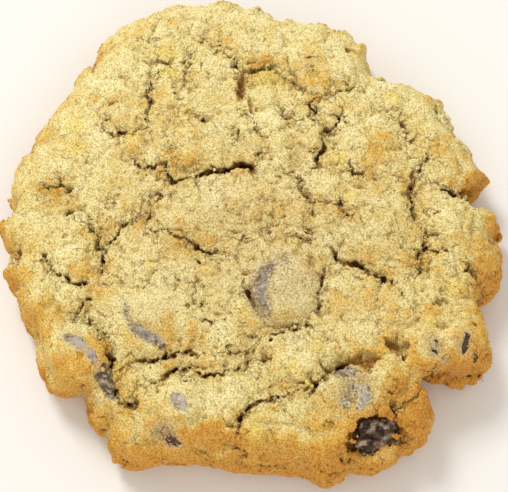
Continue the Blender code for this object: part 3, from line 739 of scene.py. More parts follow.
crumb = {
    # spacing, depth of the gaps between, unevenness, roundness, depth of the splits
    "flakes": (3.1, 0.09, 0.18, 0.06, 0.7),
    "bits": (1.3, 0.05, 0.07, 0.05, 0.0),
    "fuzz": (0.7, 0.05),       # width and height
    "above": (0.3, 2.0),       # heights over which the flat foot turns crumbly
    "wall": (5.0, 11.0),       # heights over which the walls turn into the smoother top
    "rim": (32.0, 44.0),       # distance from the middle over which the top turns into the rim
    "gapWidth": 0.11,          # width of the gaps and of the splits, over the spacing
    "splitWidth": 0.1,
    # how rough it is at least, how much that varies, and what cracks add, with their reach, the rim and
    # the walls
    "flakeRough": {"least": 0.35, "patchy": 0.35, "crack": 0.8, "reach": 1.5, "rim": 0.6, "wall": 1.1},
    "bitRough": {"least": 0.35, "crack": 0.9, "reach": 1.2, "wall": 0.7},
}


def crumbRise(points, kind, salt, split=0.0):
    width, gap, uneven, rounded, deep = crumb[kind]
    near, second, lift = cellNoise(points, width, salt)
    edge = np.clip(second - near, 0.0, 1.0)
    rise = uneven * lift - gap * np.exp(-edge / crumb["gapWidth"]) + rounded * (0.45 - near)
    return rise - deep * split * np.exp(-(edge / crumb["splitWidth"]) ** 2)


def bandPoints(reach):
    # the grid points this close to the surface
    band = np.nonzero(np.abs(field) < reach)
    points = np.stack([places[k] for places, k in zip((xs, ys, zs), band)], axis=1).astype(np.float32)
    return band, points


def flake():
    # raised flakes with gaps and splits between them, rougher beside cracks and down the walls
    band, points = bandPoints(2.0)
    sway, fine = softNoise(3.0, 5)[band], softNoise(1.0, 8)[band]
    moved = points + 0.45 * np.stack((sway, -sway, 0.5 * sway), axis=1)
    moved = moved + 0.16 * np.stack((fine, fine, -fine), axis=1)
    patch = softNoise(8.0, 6)[band]
    above = smoothStep(points[:, 2], *crumb["above"])
    rim = smoothStep(np.hypot(points[:, 0], points[:, 1]), *crumb["rim"])
    split = smoothStep(softNoise(2.6, 18)[band] + 0.5 * nearCrack[band[:2]], 0.6, 1.3) * (1.0 - rim)
    wall = 1.0 - smoothStep(points[:, 2], *crumb["wall"])
    m = crumb["flakeRough"]
    rough = m["least"] + m["patchy"] * np.clip(patch, -1, 1)
    rough = rough + m["crack"] * np.exp(-(crackGap / m["reach"]) ** 2)[band[:2]] + m["rim"] * rim
    rough += m["wall"] * wall
    field[band] -= above * rough * crumbRise(moved, "flakes", 17, split)


def grain():
    # finer bits of crumb and an uneven skin over everything
    band, points = bandPoints(1.2)
    fine = softNoise(0.8, 9)[band]
    moved = points + 0.12 * np.stack((fine, -fine, fine), axis=1)
    above = 0.3 + 0.7 * smoothStep(points[:, 2], *crumb["above"])
    wall = 1.0 - smoothStep(points[:, 2], *crumb["wall"])
    m = crumb["bitRough"]
    rough = m["least"] + m["crack"] * np.exp(-(crackGap / m["reach"]) ** 2)[band[:2]] + m["wall"] * wall
    rise = above * rough * crumbRise(moved, "bits", 29)
    width, high = crumb["fuzz"]
    rise += high * softNoise(width, 7)[band]
    field[band] -= rise.astype(np.float32)


# place, across, tilt and toward as the CAD has them: the middle of the face, its diameter, and how
# far and which way it tips. film: thickness of the dough over it, and bulge how much thicker that is in
# the middle. veil and fade: how much chocolate shows through beside a bare part, and how far. bloom: 0
# dark chocolate, 1 greyish. dusting: dough dust on the bare parts. bare: width and path of each part
# that the dough leaves open, on the picture's grid.
chips = {
    "chip_centre": {
        "place": (5.4, -15.2, 16.2), "across": 10.0, "tilt": 4, "toward": 270, "film": 0.35, "bulge": 0.6,
        "veil": 0.72, "fade": 2.6, "bloom": 0.72, "dusting": 0.25,
        "bare": ((2.2, ((3.2, -7.0), (1.5, -8.9), (0.8, -11.1), (1.1, -13.4), (2.0, -15.6))),),
    },
    "chip_right": {
        "place": (17.3, -34.6, 15.2), "across": 8.8, "tilt": 22, "toward": 290, "film": 0.25, "bulge": 0.3,
        "veil": 0.72, "fade": 1.6, "bloom": 0.78, "dusting": 0.45,
        "bare": ((1.5, ((14.2, -27.0), (15.8, -26.7), (17.6, -27.1))),
                 (1.7, ((19.3, -29.8), (19.4, -31.4), (18.4, -33.2))),
                 (1.2, ((15.6, -32.0), (16.2, -33.2))), (0.9, ((17.2, -29.4), (18.2, -30.2)))),
    },
    "chip_front_right": {
        "place": (21.6, -41.6, 9.8), "across": 8.6, "tilt": 44, "toward": 288, "film": None, "bulge": 0.0,
        "veil": 0.0, "fade": 1.0, "bloom": 0.3, "dusting": 0.15, "bare": (),
    },
    "chip_left_streak": {
        "place": (-19.2, -21.4, 15.3), "across": 8.8, "tilt": 10, "toward": 225, "film": 0.4, "bulge": 0.5,
        "veil": 0.75, "fade": 1.3, "bloom": 0.75, "dusting": 0.25,
        "bare": ((1.7, ((-21.6, -18.5), (-20.2, -19.4), (-18.2, -20.6), (-16.6, -21.3))),
                 (0.7, ((-22.9, -15.4), (-22.6, -16.2), (-22.0, -17.4)))),
    },
    "chip_left_edge": {
        "place": (-31.0, -27.2, 15.2), "across": 8.6, "tilt": 24, "toward": 215, "film": 0.4, "bulge": 0.4,
        "veil": 0.6, "fade": 1.0, "bloom": 0.92, "dusting": 0.1,
        "bare": ((2.0, ((-33.6, -20.3), (-31.2, -21.2), (-29.8, -22.2))),
                 (1.5, ((-29.2, -22.8), (-28.4, -24.0), (-27.8, -25.2)))),
    },
    "chip_low_left_a": {
        "place": (-13.0, -36.4, 15.2), "across": 5.2, "tilt": 14, "toward": 255, "film": 0.25, "bulge": 0.2,
        "veil": 0.7, "fade": 1.4, "bloom": 0.85, "dusting": 0.35,
        "bare": ((2.2, ((-13.8, -31.4), (-13.0, -32.4), (-12.2, -33.4))),),
    },
    "chip_low_left_b": {
        "place": (-14.4, -42.0, 11.0), "across": 6.2, "tilt": 44, "toward": 252, "film": 0.25, "bulge": 0.2,
        "veil": 0.7, "fade": 1.6, "bloom": 0.35, "dusting": 0.2,
        "bare": ((1.8, ((-14.8, -39.0), (-13.2, -39.8))),),
    },
    "chip_right_edge_a": {
        "place": (31.0, -26.8, 14.6), "across": 7.2, "tilt": 18, "toward": 330, "film": 0.35, "bulge": 0.5,
        "veil": 0.5, "fade": 1.4, "bloom": 0.1, "dusting": 0.2,
        "bare": ((0.9, ((30.8, -20.5), (32.2, -21.3), (33.4, -22.4))),
                 (0.7, ((31.4, -22.9), (32.6, -23.9), (33.6, -25.2)))),
    },
    "chip_right_edge_b": {
        "place": (37.4, -26.0, 13.4), "across": 6.0, "tilt": 34, "toward": 322, "film": 0.25, "bulge": 0.2,
        "veil": 0.6, "fade": 1.4, "bloom": 0.2, "dusting": 0.2,
        "bare": ((1.4, ((37.9, -19.6), (37.2, -21.5), (36.7, -23.3))),),
    },
}
# The hollow that the front right chip lies in: middle and half widths in the chip's own frame
frontHollow = (
    ((0.3, -1.0, 1.6), (4.4, 3.2, 3.6)), ((-0.6, 2.0, 0.0), (4.6, 2.6, 2.4)),
    ((-4.4, -0.4, 0.0), (1.6, 2.4, 2.6)), ((4.8, -1.0, 0.4), (2.6, 2.4, 2.6)),
)
# and the dough that sticks to it: middle and radius
frontCrumbs = (
    ((2.2, -3.0, 0.2), 1.9), ((3.4, -1.2, 0.5), 0.8), ((0.8, -4.0, 0.0), 1.7), ((-1.0, -4.3, 0.0), 1.3),
    ((1.6, -1.0, 0.9), 0.5), ((0.2, -2.2, 0.8), 0.5), ((3.4, 0.8, 0.6), 0.5), ((-2.6, -3.8, 0.2), 0.9),
)
chipForm = {
    # half outline from the middle of the face to the tip: radius over the half width, height over the depth
    "outline": (
        (0.0, 0.02), (0.45, 0.01), (0.86, -0.02), (0.97, -0.07), (1.0, -0.16), (0.97, -0.3), (0.74, -0.58),
        (0.36, -0.86), (0.0, -1.0),
    ),
    "depth": 0.62,             # over the diameter
    "rows": 44,
    "segments": 72,
    "rough": 0.1,              # how uneven a chip is, and the broken one that lies open
    "broken": 0.9,
    "thinning": 1.4,           # beside a bare part, the film is thinner over this distance
    "filmRun": (0.6, 2.2),     # from how far inside to how far outside the edge it runs out
    "dip": 0.5,                # the dough of a bare part stands this far below the face
}


def chipFrame(chip):
    toward = math.radians(chip["toward"])
    axis = Vector((-math.sin(toward), math.cos(toward), 0.0))
    return Matrix.Translation(Vector(chip["place"])) @ Matrix.Rotation(math.radians(chip["tilt"]), 4, axis)


def toChip(chip, x, y, z):
    # places in the chip's own frame: u and v across its face, w up out of it
    turned = np.array(chipFrame(chip).inverted(), np.float32)
    return [turned[i, 0] * x + turned[i, 1] * y + turned[i, 2] * z + turned[i, 3] for i in range(3)]


def bareDistance(chip, u, v):
    # how far a place across the face is from the nearest bare part, less than 0 inside one
    nearest = np.full(np.broadcast(u, v).shape, 9.0)
    for width, places in chip["bare"]:
        path = []
        for x, y in places:
            ray = np.array((x + photoView["aim"][0], y + photoView["aim"][1], photoView["gridCrown"])) - eye
            start, run = (np.array(toChip(chip, *p)) for p in (eye, eye + ray))
            along = start[2] / (start[2] - run[2])
            path.append((start + along * (run - start))[:2])
        gap, along, _, _ = alongPath(u, v, np.array(path))
        half = 0.5 * width * (0.45 + 0.55 * np.sqrt(np.clip(4.0 * along * (1.0 - along), 0.0, 1.0)))
        nearest = np.minimum(nearest, gap - half)
    return nearest


def chipWindow(chip, margin):
    reach = 0.5 * chip["across"] + margin
    w = windowAround([p - reach for p in chip["place"]], [p + reach for p in chip["place"]])
    return w, toChip(chip, gx[w[0]], gy[:, w[1]], gz[:, :, w[2]])


def coverChips():
    # the dough follows each chip's face, thinner towards the bare parts
    for chip in chips.values():
        if chip["film"] is None:
            continue
        w, (u, v, up) = chipWindow(chip, 3.5)
        radius, edge = np.hypot(u, v), 0.5 * chip["across"]
        thin = smoothStep(bareDistance(chip, u, v), 0.0, chipForm["thinning"])
        crown = np.clip(1.0 - (radius / edge) ** 2, 0.0, 1.0)
        cover = chip["film"] * (0.2 + 0.8 * thin) + chip["bulge"] * thin * crown
        inside, outside = chipForm["filmRun"]
        share = 1.0 - smoothStep(radius, edge - inside, edge + outside)
        share = share * (1.0 - smoothStep(np.abs(up), 1.8, 3.2))
        field[w] = field[w] * (1.0 - share) + (up - cover) * share


def bareChips():
    # opens the dough over the bare parts
    for chip in chips.values():
        w, (u, v, up) = chipWindow(chip, 3.0)
        if chip["film"] is None:
            # a hollow round the chip, open to the front
            sway = 0.45 * ragged[w[:2]][:, :, None]
            for (mu, mv, mw), (ru, rv, rw) in frontHollow:
                out = ((u + sway - mu) / ru) ** 2 + ((v - sway - mv) / rv) ** 2 + ((up - mw) / rw) ** 2
                field[w] = smoothMax(field[w], (1.0 - np.sqrt(out)) * min(ru, rv, rw), 0.35)
            sway = 0.5 * sway
            for (mu, mv, mw), radius in frontCrumbs:
                lump = np.sqrt((u + sway - mu) ** 2 + (v - sway - mv) ** 2 + 1.6 * (up - mw) ** 2) - radius
                field[w] = smoothMin(field[w], lump, 0.3)
            continue
        gap = bareDistance(chip, u, v) + 0.3 + 0.25 * ragged[w[:2]][:, :, None]
        field[w] = np.maximum(field[w], -np.maximum(gap, -(up + chipForm["dip"])))


def seenThrough(points):
    # how much of each chip shows through the thin dough round its bare parts
    total = np.zeros(len(points))
    for chip in chips.values():
        if chip["bare"]:
            u, v, up = toChip(chip, *points.T)
            veil = chip["veil"] * (1.0 - smoothStep(bareDistance(chip, u, v), -0.4, chip["fade"]))
            total = np.maximum(total, veil * (1.0 - smoothStep(np.abs(up), 1.0, 2.4)))
    return total


def turnedFaces(rows, segments):
    # bands between the rings of a turned form, and a fan round each of the two points that come after them
    k = np.arange(segments)
    faces = []
    for row in range(rows - 1):
        a, b = row * segments + k, row * segments + (k + 1) % segments
        faces += [np.stack((a, a + segments, b), axis=1), np.stack((b, a + segments, b + segments), axis=1)]
    last, top = (rows - 1) * segments, rows * segments
    faces.append(np.stack((np.full(segments, top), k, (k + 1) % segments), axis=1))
    faces.append(np.stack((np.full(segments, top + 1), last + (k + 1) % segments, last + k), axis=1))
    return np.concatenate(faces)


def makeChip(name, chip):
    draw = np.random.default_rng(randomSeed + len(name) + int(chip["across"] * 10))
    edge, segments = 0.5 * chip["across"], chipForm["segments"]
    outline = np.array(chipForm["outline"]) * (edge, chipForm["depth"] * chip["across"])
    steps = np.linspace(0, len(outline) - 1, chipForm["rows"])
    radii, heights = (np.interp(steps, np.arange(len(outline)), side)[1:-1] for side in outline.T)
    turn = np.arange(segments) * 2.0 * math.pi / segments
    ring = np.stack((np.cos(turn), np.sin(turn)), axis=1)
    high = np.broadcast_to(heights[:, None, None], (len(radii), segments, 1))
    body = np.concatenate((radii[:, None, None] * ring, high), axis=2)
    points = np.concatenate((body.reshape(-1, 3), ((0, 0, outline[0, 1]), (0, 0, outline[-1, 1]))))
    shift = Vector(draw.uniform(-50, 50, 3))
    rough = chipForm["broken" if chip["film"] is None else "rough"]
    broken = np.zeros(len(points))
    for i, p in enumerate(points):
        swell = noise.noise(Vector(p) / 2.2 + shift) + 0.5 * noise.noise(Vector(p) / 0.9 + shift)
        if chip["film"] is None:
            # broken faces with steps between them, and patches of bloom
            near, second = noise.voronoi(Vector(p) / 2.6 + shift)[0][:2]
            swell += 1.6 * min(second - near, 0.5) - 0.5
            across = Vector((0.25 * (p[0] + p[1]), 0.7 * (p[1] - p[0]), 0.0))
            broken[i] = 0.8 * noise.noise(across + shift) + 0.9 * noise.noise(Vector(p) / 1.3 + shift)
        p *= 1.0 + rough * swell / edge
        p[2] += 0.6 * rough * swell
    turned = np.array(chipFrame(chip))
    placed = points @ turned[:3, :3].T + turned[:3, 3]
    thing = meshFrom(name + "_baked", placed, turnedFaces(len(radii), segments))
    # dusty where the dough begins, or on the far side of a chip that lies open
    if chip["bare"]:
        edgeDust = 0.4 * smoothStep(bareDistance(chip, points[:, 0], points[:, 1]), -0.5, 0.5)
    else:
        edgeDust = smoothStep(-points[:, 1] + 0.4 * points[:, 0], 1.5, 4.5)
    storeOn(thing.data, "dust", chip["dusting"] + (1.0 - chip["dusting"]) * edgeDust)
    storeOn(thing.data, "bloom", chip["bloom"] + broken)
    thing.data.materials.append(chocolate)
    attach(thing, "root")
    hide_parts(name)


crackGap, crackLine = crackMap()
nearCrack = np.exp(-(crackGap / 1.3) ** 2)
field, moundBaked = raiseMounds()
addLumps()
flake()
coverChips()
topMap = topOf(field)
for crack in cracks:
    cutCrack(*crack)
cutPits()
tell(f"{len(cracks)} cracks, {len(pits)} pits, {len(lumps)} lumps")
grain()
bareChips()
field = smoothMax(field, -np.broadcast_to(gz, field.shape), 0.3)
tell("crumb relief")


def meshFrom(name, points, faces):
    mesh = bpy.data.meshes.new(name)
    sides = faces.shape[1]
    mesh.vertices.add(len(points))
    mesh.vertices.foreach_set("co", np.ascontiguousarray(points * mm, np.float32).ravel())
    mesh.loops.add(faces.size)
    mesh.loops.foreach_set("vertex_index", np.ascontiguousarray(faces, np.int32).ravel())
    mesh.polygons.add(len(faces))
    mesh.polygons.foreach_set("loop_start", np.arange(0, faces.size, sides, dtype=np.int32))
    mesh.update(calc_edges=True)
    mesh.validate()
    mesh.shade_smooth()
    thing = bpy.data.objects.new(name, mesh)
    bpy.context.scene.collection.objects.link(thing)
    return thing


def skinOf(solid):
    # the surface where the field is nought
    grid = openvdb.FloatGrid(3.0)
    grid.copyFromArray(np.ascontiguousarray(solid, np.float32))
    points, _, quads = grid.convertToPolygons(isovalue=0.0, adaptivity=0.0)
    points = points.astype(np.float64) * stepSize + (xs[0], ys[0], zs[0])
    return points, quads.astype(np.int64)


def thinOut(thing, triangles):
    thin = thing.modifiers.new("Thin out", "DECIMATE")
    thin.ratio = min(1.0, triangles / (2 * len(thing.data.polygons)))
    graph = bpy.context.evaluated_depsgraph_get()
    mesh = bpy.data.meshes.new_from_object(thing.evaluated_get(graph), depsgraph=graph)
    thing.modifiers.clear()
    old, thing.data = thing.data, mesh
    bpy.data.meshes.remove(old)
    mesh.name = thing.name


doughTriangles = 190000        # triangles that the dough is thinned to; as many as keep its piece below 200,000
points, quads = skinOf(field)
tell(f"skin of {len(quads)} faces")
dough = meshFrom("doughBaked", points, quads)
thinOut(dough, doughTriangles)
tell(f"dough thinned to {len(dough.data.polygons)} triangles")


def sampleAt(array, points):
    # the array's value between its grid points
    low = (xs[0], ys[0], zs[0])[:array.ndim]
    spots = (points[:, :array.ndim] - low) / stepSize
    spots = np.clip(spots, 0, np.array(array.shape) - 1.001)
    cell = np.floor(spots).astype(int)
    part = spots - cell
    total = np.zeros(len(points))
    for corner in np.ndindex(*(2,) * array.ndim):
        weight = np.prod([part[:, k] if c else 1 - part[:, k] for k, c in enumerate(corner)], axis=0)
        total += weight * array[tuple(cell[:, k] + c for k, c in enumerate(corner))]
    return total


def boxBlur(array, reach):
    # mean over a cube that reaches this many steps each way
    for axis in range(3):
        total = np.cumsum(array, axis=axis, dtype=np.float32)
        count = array.shape[axis]
        upper = np.clip(np.arange(count) + reach, 0, count - 1)
        lower = np.clip(np.arange(count) - reach - 1, 0, count - 1)
        array = (np.take(total, upper, axis) - np.take(total, lower, axis)) / (2 * reach + 1)
    return array


def vertexPlaces(mesh):
    flat = np.empty(3 * len(mesh.vertices), np.float32)
    mesh.vertices.foreach_get("co", flat)
    return flat.reshape(-1, 3) / mm


def vertexNormals(mesh):
    flat = np.empty(3 * len(mesh.vertices), np.float32)
    mesh.vertices.foreach_get("normal", flat)
    return flat.reshape(-1, 3)


def storeOn(mesh, name, values):
    layer = mesh.attributes.new(name, "FLOAT", "POINT")
    layer.data.foreach_set("value", np.ascontiguousarray(values, np.float32))


# Patches of the top that baked darker: x and y on the picture's grid, radius, strength
toastedPatches = (
    (1, 35.3, 1.6, 0.9), (-31, 26.9, 1.3, 0.9), (-35.7, 17.6, 2.2, 0.8), (-37.5, 21, 2.2, 1.0),
    (-36.6, -1.2, 2.6, 0.8), (-40.5, -2.9, 2.2, 0.7), (23.8, 18.3, 3.2, 0.7), (22.4, 14, 3, 0.7),
    (30.4, 21.2, 1.8, 0.8), (30.5, 24, 1.6, 0.6), (36.8, 18.5, 2, 0.9), (38.5, 16.5, 1.6, 0.9),
    (27, -2.6, 3.2, 0.6), (18.4, 37.7, 1.2, 1.0), (-31.5, -8, 2.6, 0.5), (-36.5, -15.5, 3.2, 0.8),
    (-43.6, -9.8, 2.6, 0.9), (-18.6, -8.4, 1.6, 0.7), (-29.5, -28, 3.2, 0.5), (27.5, 0, 2.4, 0.6),
    (-4, 2.5, 1.8, 0.5), (-7, -3, 2.4, 0.6), (5, -1.6, 2, 0.7), (2, -23.6, 1.6, 0.5), (-7, -37, 5, 0.6),
    (12, 29, 3, 0.4), (41, 9, 2.8, 1.6), (38.6, 9.2, 1.6, 1.8), (36.4, 9.8, 1.2, 1.2),
    (44, 1.4, 1.8, 0.9), (26.5, -26.5, 5, 0.55), (28.5, -35.5, 5.5, 0.95), (36, -26, 4, 0.5),
    (12, -42, 7, 0.5), (-2, 12.5, 3, 0.5), (-10, 13.5, 3.5, 0.5), (-23.5, 26, 2, 0.5),
    (-26, 21.8, 2.6, 0.5), (-8.5, 33, 2.4, 0.4), (-15.8, 44.5, 1, 0.9), (14, 40.5, 2.6, 0.6),
    (17.5, 38.6, 1.6, 0.8),
)
# Bits of nut and oat that stayed pale and yellow: x, y, radius
palePatches = (
    (2.2, 31.6, 2.4), (1.7, 8, 1.8), (17.7, 6.6, 2), (-22.5, 18.6, 1.7), (-27.2, 25.6, 0.9),
    (7.2, -3, 1.4), (-8.3, -7.6, 1.5), (-18.4, -6.6, 1.3), (-16, -17, 1.3), (-37, -12.4, 1.1),
    (0.6, -37.4, 1.8), (14.9, 7.4, 1), (-16.5, 37.4, 2.4), (-16, 32.4, 2.2), (36, -10.4, 1.8),
    (-1.6, -15.8, 1.3), (7, -26.4, 1.6), (9.6, -28.6, 1.2), (11, -22, 1.5), (4.6, -22.6, 1.1),
    (-33, 22, 2.2), (-33, 17, 2), (0.4, -35.6, 1.2), (26, 27.4, 1.6), (-12, 24.6, 1.2),
    (15.6, 14.8, 1.6), (31.4, -17, 1.4),
)
# Dough that melted chocolate stained: x, y, radius, strength
stainedPatches = (
    (5.2, -6.4, 2.6, 0.55), (6, -11, 5.2, 0.42), (-22.4, -14.6, 1.8, 0.5), (-19, -16.4, 3.4, 0.38),
    (-18.6, -18.2, 2.2, 0.4), (-16.2, -22, 1, 0.8), (-27.4, -25.4, 1.6, 1.1), (-26.6, -27.2, 1.7, 1.1),
    (-25.8, -28.8, 1.6, 1.0), (-25, -30.4, 1.3, 0.9), (-30, -19.4, 1.8, 0.45), (-15.8, -37.4, 2.6, 0.6),
    (17.2, -29.6, 4.6, 0.52), (31, -22.4, 2.8, 0.62), (27.8, -22, 1.6, 0.5), (35.6, -20.8, 1.8, 0.5),
    (37, -22, 1.8, 0.5), (22.5, -41.5, 1.6, 0.3), (-33, 8, 1.4, 0.25), (6.6, -21.4, 1.6, 0.2),
    (-27.4, -31.6, 2, 0.35), (-24, -33.5, 1.6, 0.3),
)


def patchWeight(points, patches):
    total = np.zeros(len(points))
    for x, y, radius, *strength in patches:
        place = onCookie(x, y)
        away = np.linalg.norm(points - place, axis=1)
        total = np.maximum(total, (strength or [1.0])[0] * np.exp(-(away / radius) ** 4))
    return total


# What each place of the dough carries for its material. crease, hollow: how deep it lies among the grains
# and among the mounds; both darken it there as painted shade. facing: above 0 on slopes that face the
# front, which are made more golden, partly as painted shade. deep: how far it lies below the plain form,
# for painted shade
# down the cracks. brown: how much darker it is. nut, stain: pale bits, melted chocolate. cracked, line: how
# near a crack is, and its distance in mm, with a sign for the side, for painted shade along the finest
# cracks. dull: the greyer middle.
doughLayers = ("crease", "hollow", "facing", "deep", "brown", "nut", "stain", "cracked", "line", "dull")
deepest = 3.0                  # mm below the plain form at which deep is 1
# How far the dough is blurred to tell the grains from the mounds, and how far above the surface, or to
# either side of it, the blurred dough is read
reading = {
    "fine": 0.4,
    "broad": 1.4,
    "fineAbove": 0.15,
    "broadAbove": 0.3,
    "beside": (0, 1.5, 0.6),
    "plain": 0.42,             # what a plain surface reads
}
# How much darker the dough is, where it baked longer and towards the front and the right
browned = {
    "low": 0.26,               # down the walls, over these heights
    "lowRun": (1.0, 11.0),
    "edge": 0.2,               # darker towards the front and the right, over these distances
    "frontRun": (28.0, 50.0),
    "rightRun": (30.0, 48.0),
    "rim": 0.16,               # round the rim, over this share of the radius
    "rimRun": (0.78, 1.0),
    "uneven": 0.12,            # how uneven that is
    "toasted": 0.22,           # in the toasted patches
    "mound": 0.2,              # and from mound to mound
}


def browning(points):
    m = browned
    x, y, z = points.T
    uneven = sampleAt(softNoise(5.0, 33), points)
    low = 1.0 - smoothStep(z + 2.0 * uneven, *m["lowRun"])
    front = smoothStep(-y + 0.4 * x, *m["frontRun"])
    right = smoothStep(x - 0.35 * y, *m["rightRun"])
    halfX, halfY = photoView["gridHalf"]
    rim = smoothStep(np.hypot(x / halfX, y / halfY), *m["rimRun"])
    baked = m["low"] * low + m["edge"] * np.maximum(front, right) + m["rim"] * rim
    return np.clip(baked - m["uneven"] * low * uneven, 0.0, 1.0)


def colourDough():
    mesh = dough.data
    places, normals = vertexPlaces(mesh), vertexNormals(mesh)
    solid = np.clip(0.5 - field / stepSize, 0.0, 1.0)
    m = reading
    fine = boxBlur(solid, max(1, round(m["fine"] / stepSize)))
    broad = boxBlur(fine, round(m["broad"] / stepSize))
    facing = sampleAt(broad, places + m["beside"]) - sampleAt(broad, places - m["beside"])
    storeOn(mesh, "crease", 2.0 * (sampleAt(fine, places + m["fineAbove"] * normals) - m["plain"]))
    storeOn(mesh, "hollow", 2.0 * (sampleAt(broad, places + m["broadAbove"] * normals) - m["plain"]))
    storeOn(mesh, "facing", np.clip(facing, -1.0, 1.0))
    storeOn(mesh, "deep", np.clip(-sampleAt(plainForm, places) / deepest, 0.0, 1.0))
    baked = browning(places) + browned["toasted"] * patchWeight(places, toastedPatches)
    storeOn(mesh, "brown", np.clip(baked + browned["mound"] * sampleAt(moundBaked, places), -0.4, 1.0))
    storeOn(mesh, "nut", patchWeight(places, palePatches))
    storeOn(mesh, "cracked", sampleAt(nearCrack, places))
    storeOn(mesh, "line", sampleAt(crackLine, places))
    storeOn(mesh, "dull", np.exp(-(places[:, 0] / 24.0) ** 2 - ((places[:, 1] + 6.0) / 17.0) ** 2))
    storeOn(mesh, "stain", np.maximum(patchWeight(places, stainedPatches), seenThrough(places)))


colourDough()
tell("dough attributes")


# Loose crumbs and grit: count, smallest and largest half width, sides of the ball, how evenly they lie
# over the top rather than along the cracks, and how deep one is sunk, over its half width
looseBits = {
    "doughCrumbs": {"count": 7000, "size": (0.15, 0.4), "sides": 20, "spread": 0.3, "sunk": 0.3},
    "doughGrit": {"count": 24000, "size": (0.1, 0.2), "sides": 8, "spread": 1.0, "sunk": 0.6},
}


def roundBit(sides):
    # a ball of 20 or of 8 triangles
    bm = bmesh.new()
    if sides == 20:
        bmesh.ops.create_icosphere(bm, subdivisions=1, radius=1.0)
    else:
        bmesh.ops.create_uvsphere(bm, u_segments=4, v_segments=2, radius=1.0)
    points = np.array([v.co[:] for v in bm.verts])
    faces = np.array([[v.index for v in f.verts] for f in bm.faces])
    bm.free()
    return points, faces


def scatterBits(name, bits, salt):
    # bits of dough that came loose along the cracks and over the top, as one mesh
    draw = np.random.default_rng(randomSeed + salt)
    mesh = dough.data
    places, normals = vertexPlaces(mesh), vertexNormals(mesh)
    layers = {}
    for layer in doughLayers:
        flat = np.empty(len(places), np.float32)
        mesh.attributes[layer].data.foreach_get("value", flat)
        layers[layer] = flat
    # ledges a little below the plain form hold the most
    ledge = np.exp(-((layers["deep"] * deepest - 0.5) / 0.8) ** 2)
    weight = bits["spread"] + 0.8 * ledge * (0.3 + np.clip(layers["hollow"], 0, 1))
    weight = weight * smoothStep(normals[:, 2], 0.1, 0.7) * smoothStep(places[:, 2], 3.0, 9.0)
    weight = weight * np.exp(-2.0 * layers["stain"]) * (layers["hollow"] < 0.7)
    count = bits["count"]
    chosen = draw.choice(len(places), count, replace=False, p=weight / weight.sum())
    ball, faces = roundBit(bits["sides"])
    low, high = bits["size"]
    size = low + (high - low) * draw.random((count, 1, 1)) ** 2.2
    shapes = ball[None] * (1.0 + draw.uniform(-0.3, 0.3, (count, len(ball), 1)))
    shapes = shapes * draw.uniform(0.7, 1.3, (count, 1, 3)) * size
    turn = draw.uniform(0.0, 2.0 * math.pi, count)
    c, s = np.cos(turn)[:, None], np.sin(turn)[:, None]
    x, y, z = (shapes[:, :, axis] for axis in range(3))
    shapes = np.stack((c * x - s * y, s * x + c * y, z), axis=2)
    centres = places[chosen] - normals[chosen] * (bits["sunk"] * size[:, :, 0])
    centres = centres + draw.normal(0.0, 0.06, (count, 3))
    points = (shapes + centres[:, None]).reshape(-1, 3)
    index = (faces[None] + len(ball) * np.arange(count)[:, None, None]).reshape(-1, 3)
    thing = meshFrom(name, points, index)
    for layer, values in layers.items():
        # bits take the colour of the dough below, but not the painted shade of its cracks and hollows
        values = np.repeat(values[chosen], len(ball))
        if layer in ("crease", "hollow", "deep"):
            values = np.minimum(values, 0.2)
        storeOn(thing.data, layer, values + 9.0 * (layer == "line"))
    return thing


bitPieces = [scatterBits(name, bits, 60 + i) for i, (name, bits) in enumerate(looseBits.items())]
tell("crumbs and grit")


def linear(code):
    # an sRGB hex colour as linear values
    parts = [int(code[i:i + 2], 16) / 255 for i in (1, 3, 5)]
    return [c / 12.92 if c <= 0.04045 else ((c + 0.055) / 1.055) ** 2.4 for c in parts] + [1.0]


def addNode(tree, kind, inputs=None, out=0, **settings):
    # adds a node and returns one of its outputs; an input that is an output of another node is linked
    node = tree.nodes.new("ShaderNode" + kind)
    for key, value in settings.items():
        setattr(node, key, value)
    for key, value in (inputs or {}).items():
        if isinstance(value, bpy.types.NodeSocket):
            tree.links.new(value, node.inputs[key])
        else:
            node.inputs[key].default_value = value
    return None if out is None else node.outputs[out]


def reckon(tree, operation, *values, clamp=False):
    return addNode(tree, "Math", dict(enumerate(values)), operation=operation, use_clamp=clamp)


def stretched(tree, value, low, high, first=0.0, last=1.0):
    # low to high become first to last, and what lies beyond them is held at the ends
    return addNode(tree, "MapRange", {
        "Value": value, "From Min": low, "From Max": high, "To Min": first, "To Max": last})


def mixed(tree, share, under, over, **settings):
    return addNode(tree, "Mix", {0: share, 6: under, 7: over}, 2, data_type="RGBA", **settings)


def ramp(tree, value, stops):
    # a colour for each value, from places and colours in their order
    colour = addNode(tree, "ValToRGB", {"Fac": value})
    marks = colour.node.color_ramp.elements
    marks[0].position, marks[0].color = stops[0]
    marks[1].position, marks[1].color = stops[-1]
    for place, shade in stops[1:-1]:
        marks.new(place).color = shade
    return colour


def newMaterial(name):
    material = bpy.data.materials.new(name)
    material.use_nodes = True
    material.node_tree.nodes.clear()
    return material, material.node_tree


def shadeWith(tree, inputs):
    # the shader with these inputs, linked to the output
    addNode(tree, "OutputMaterial", {"Surface": addNode(tree, "BsdfPrincipled", inputs)}, None)
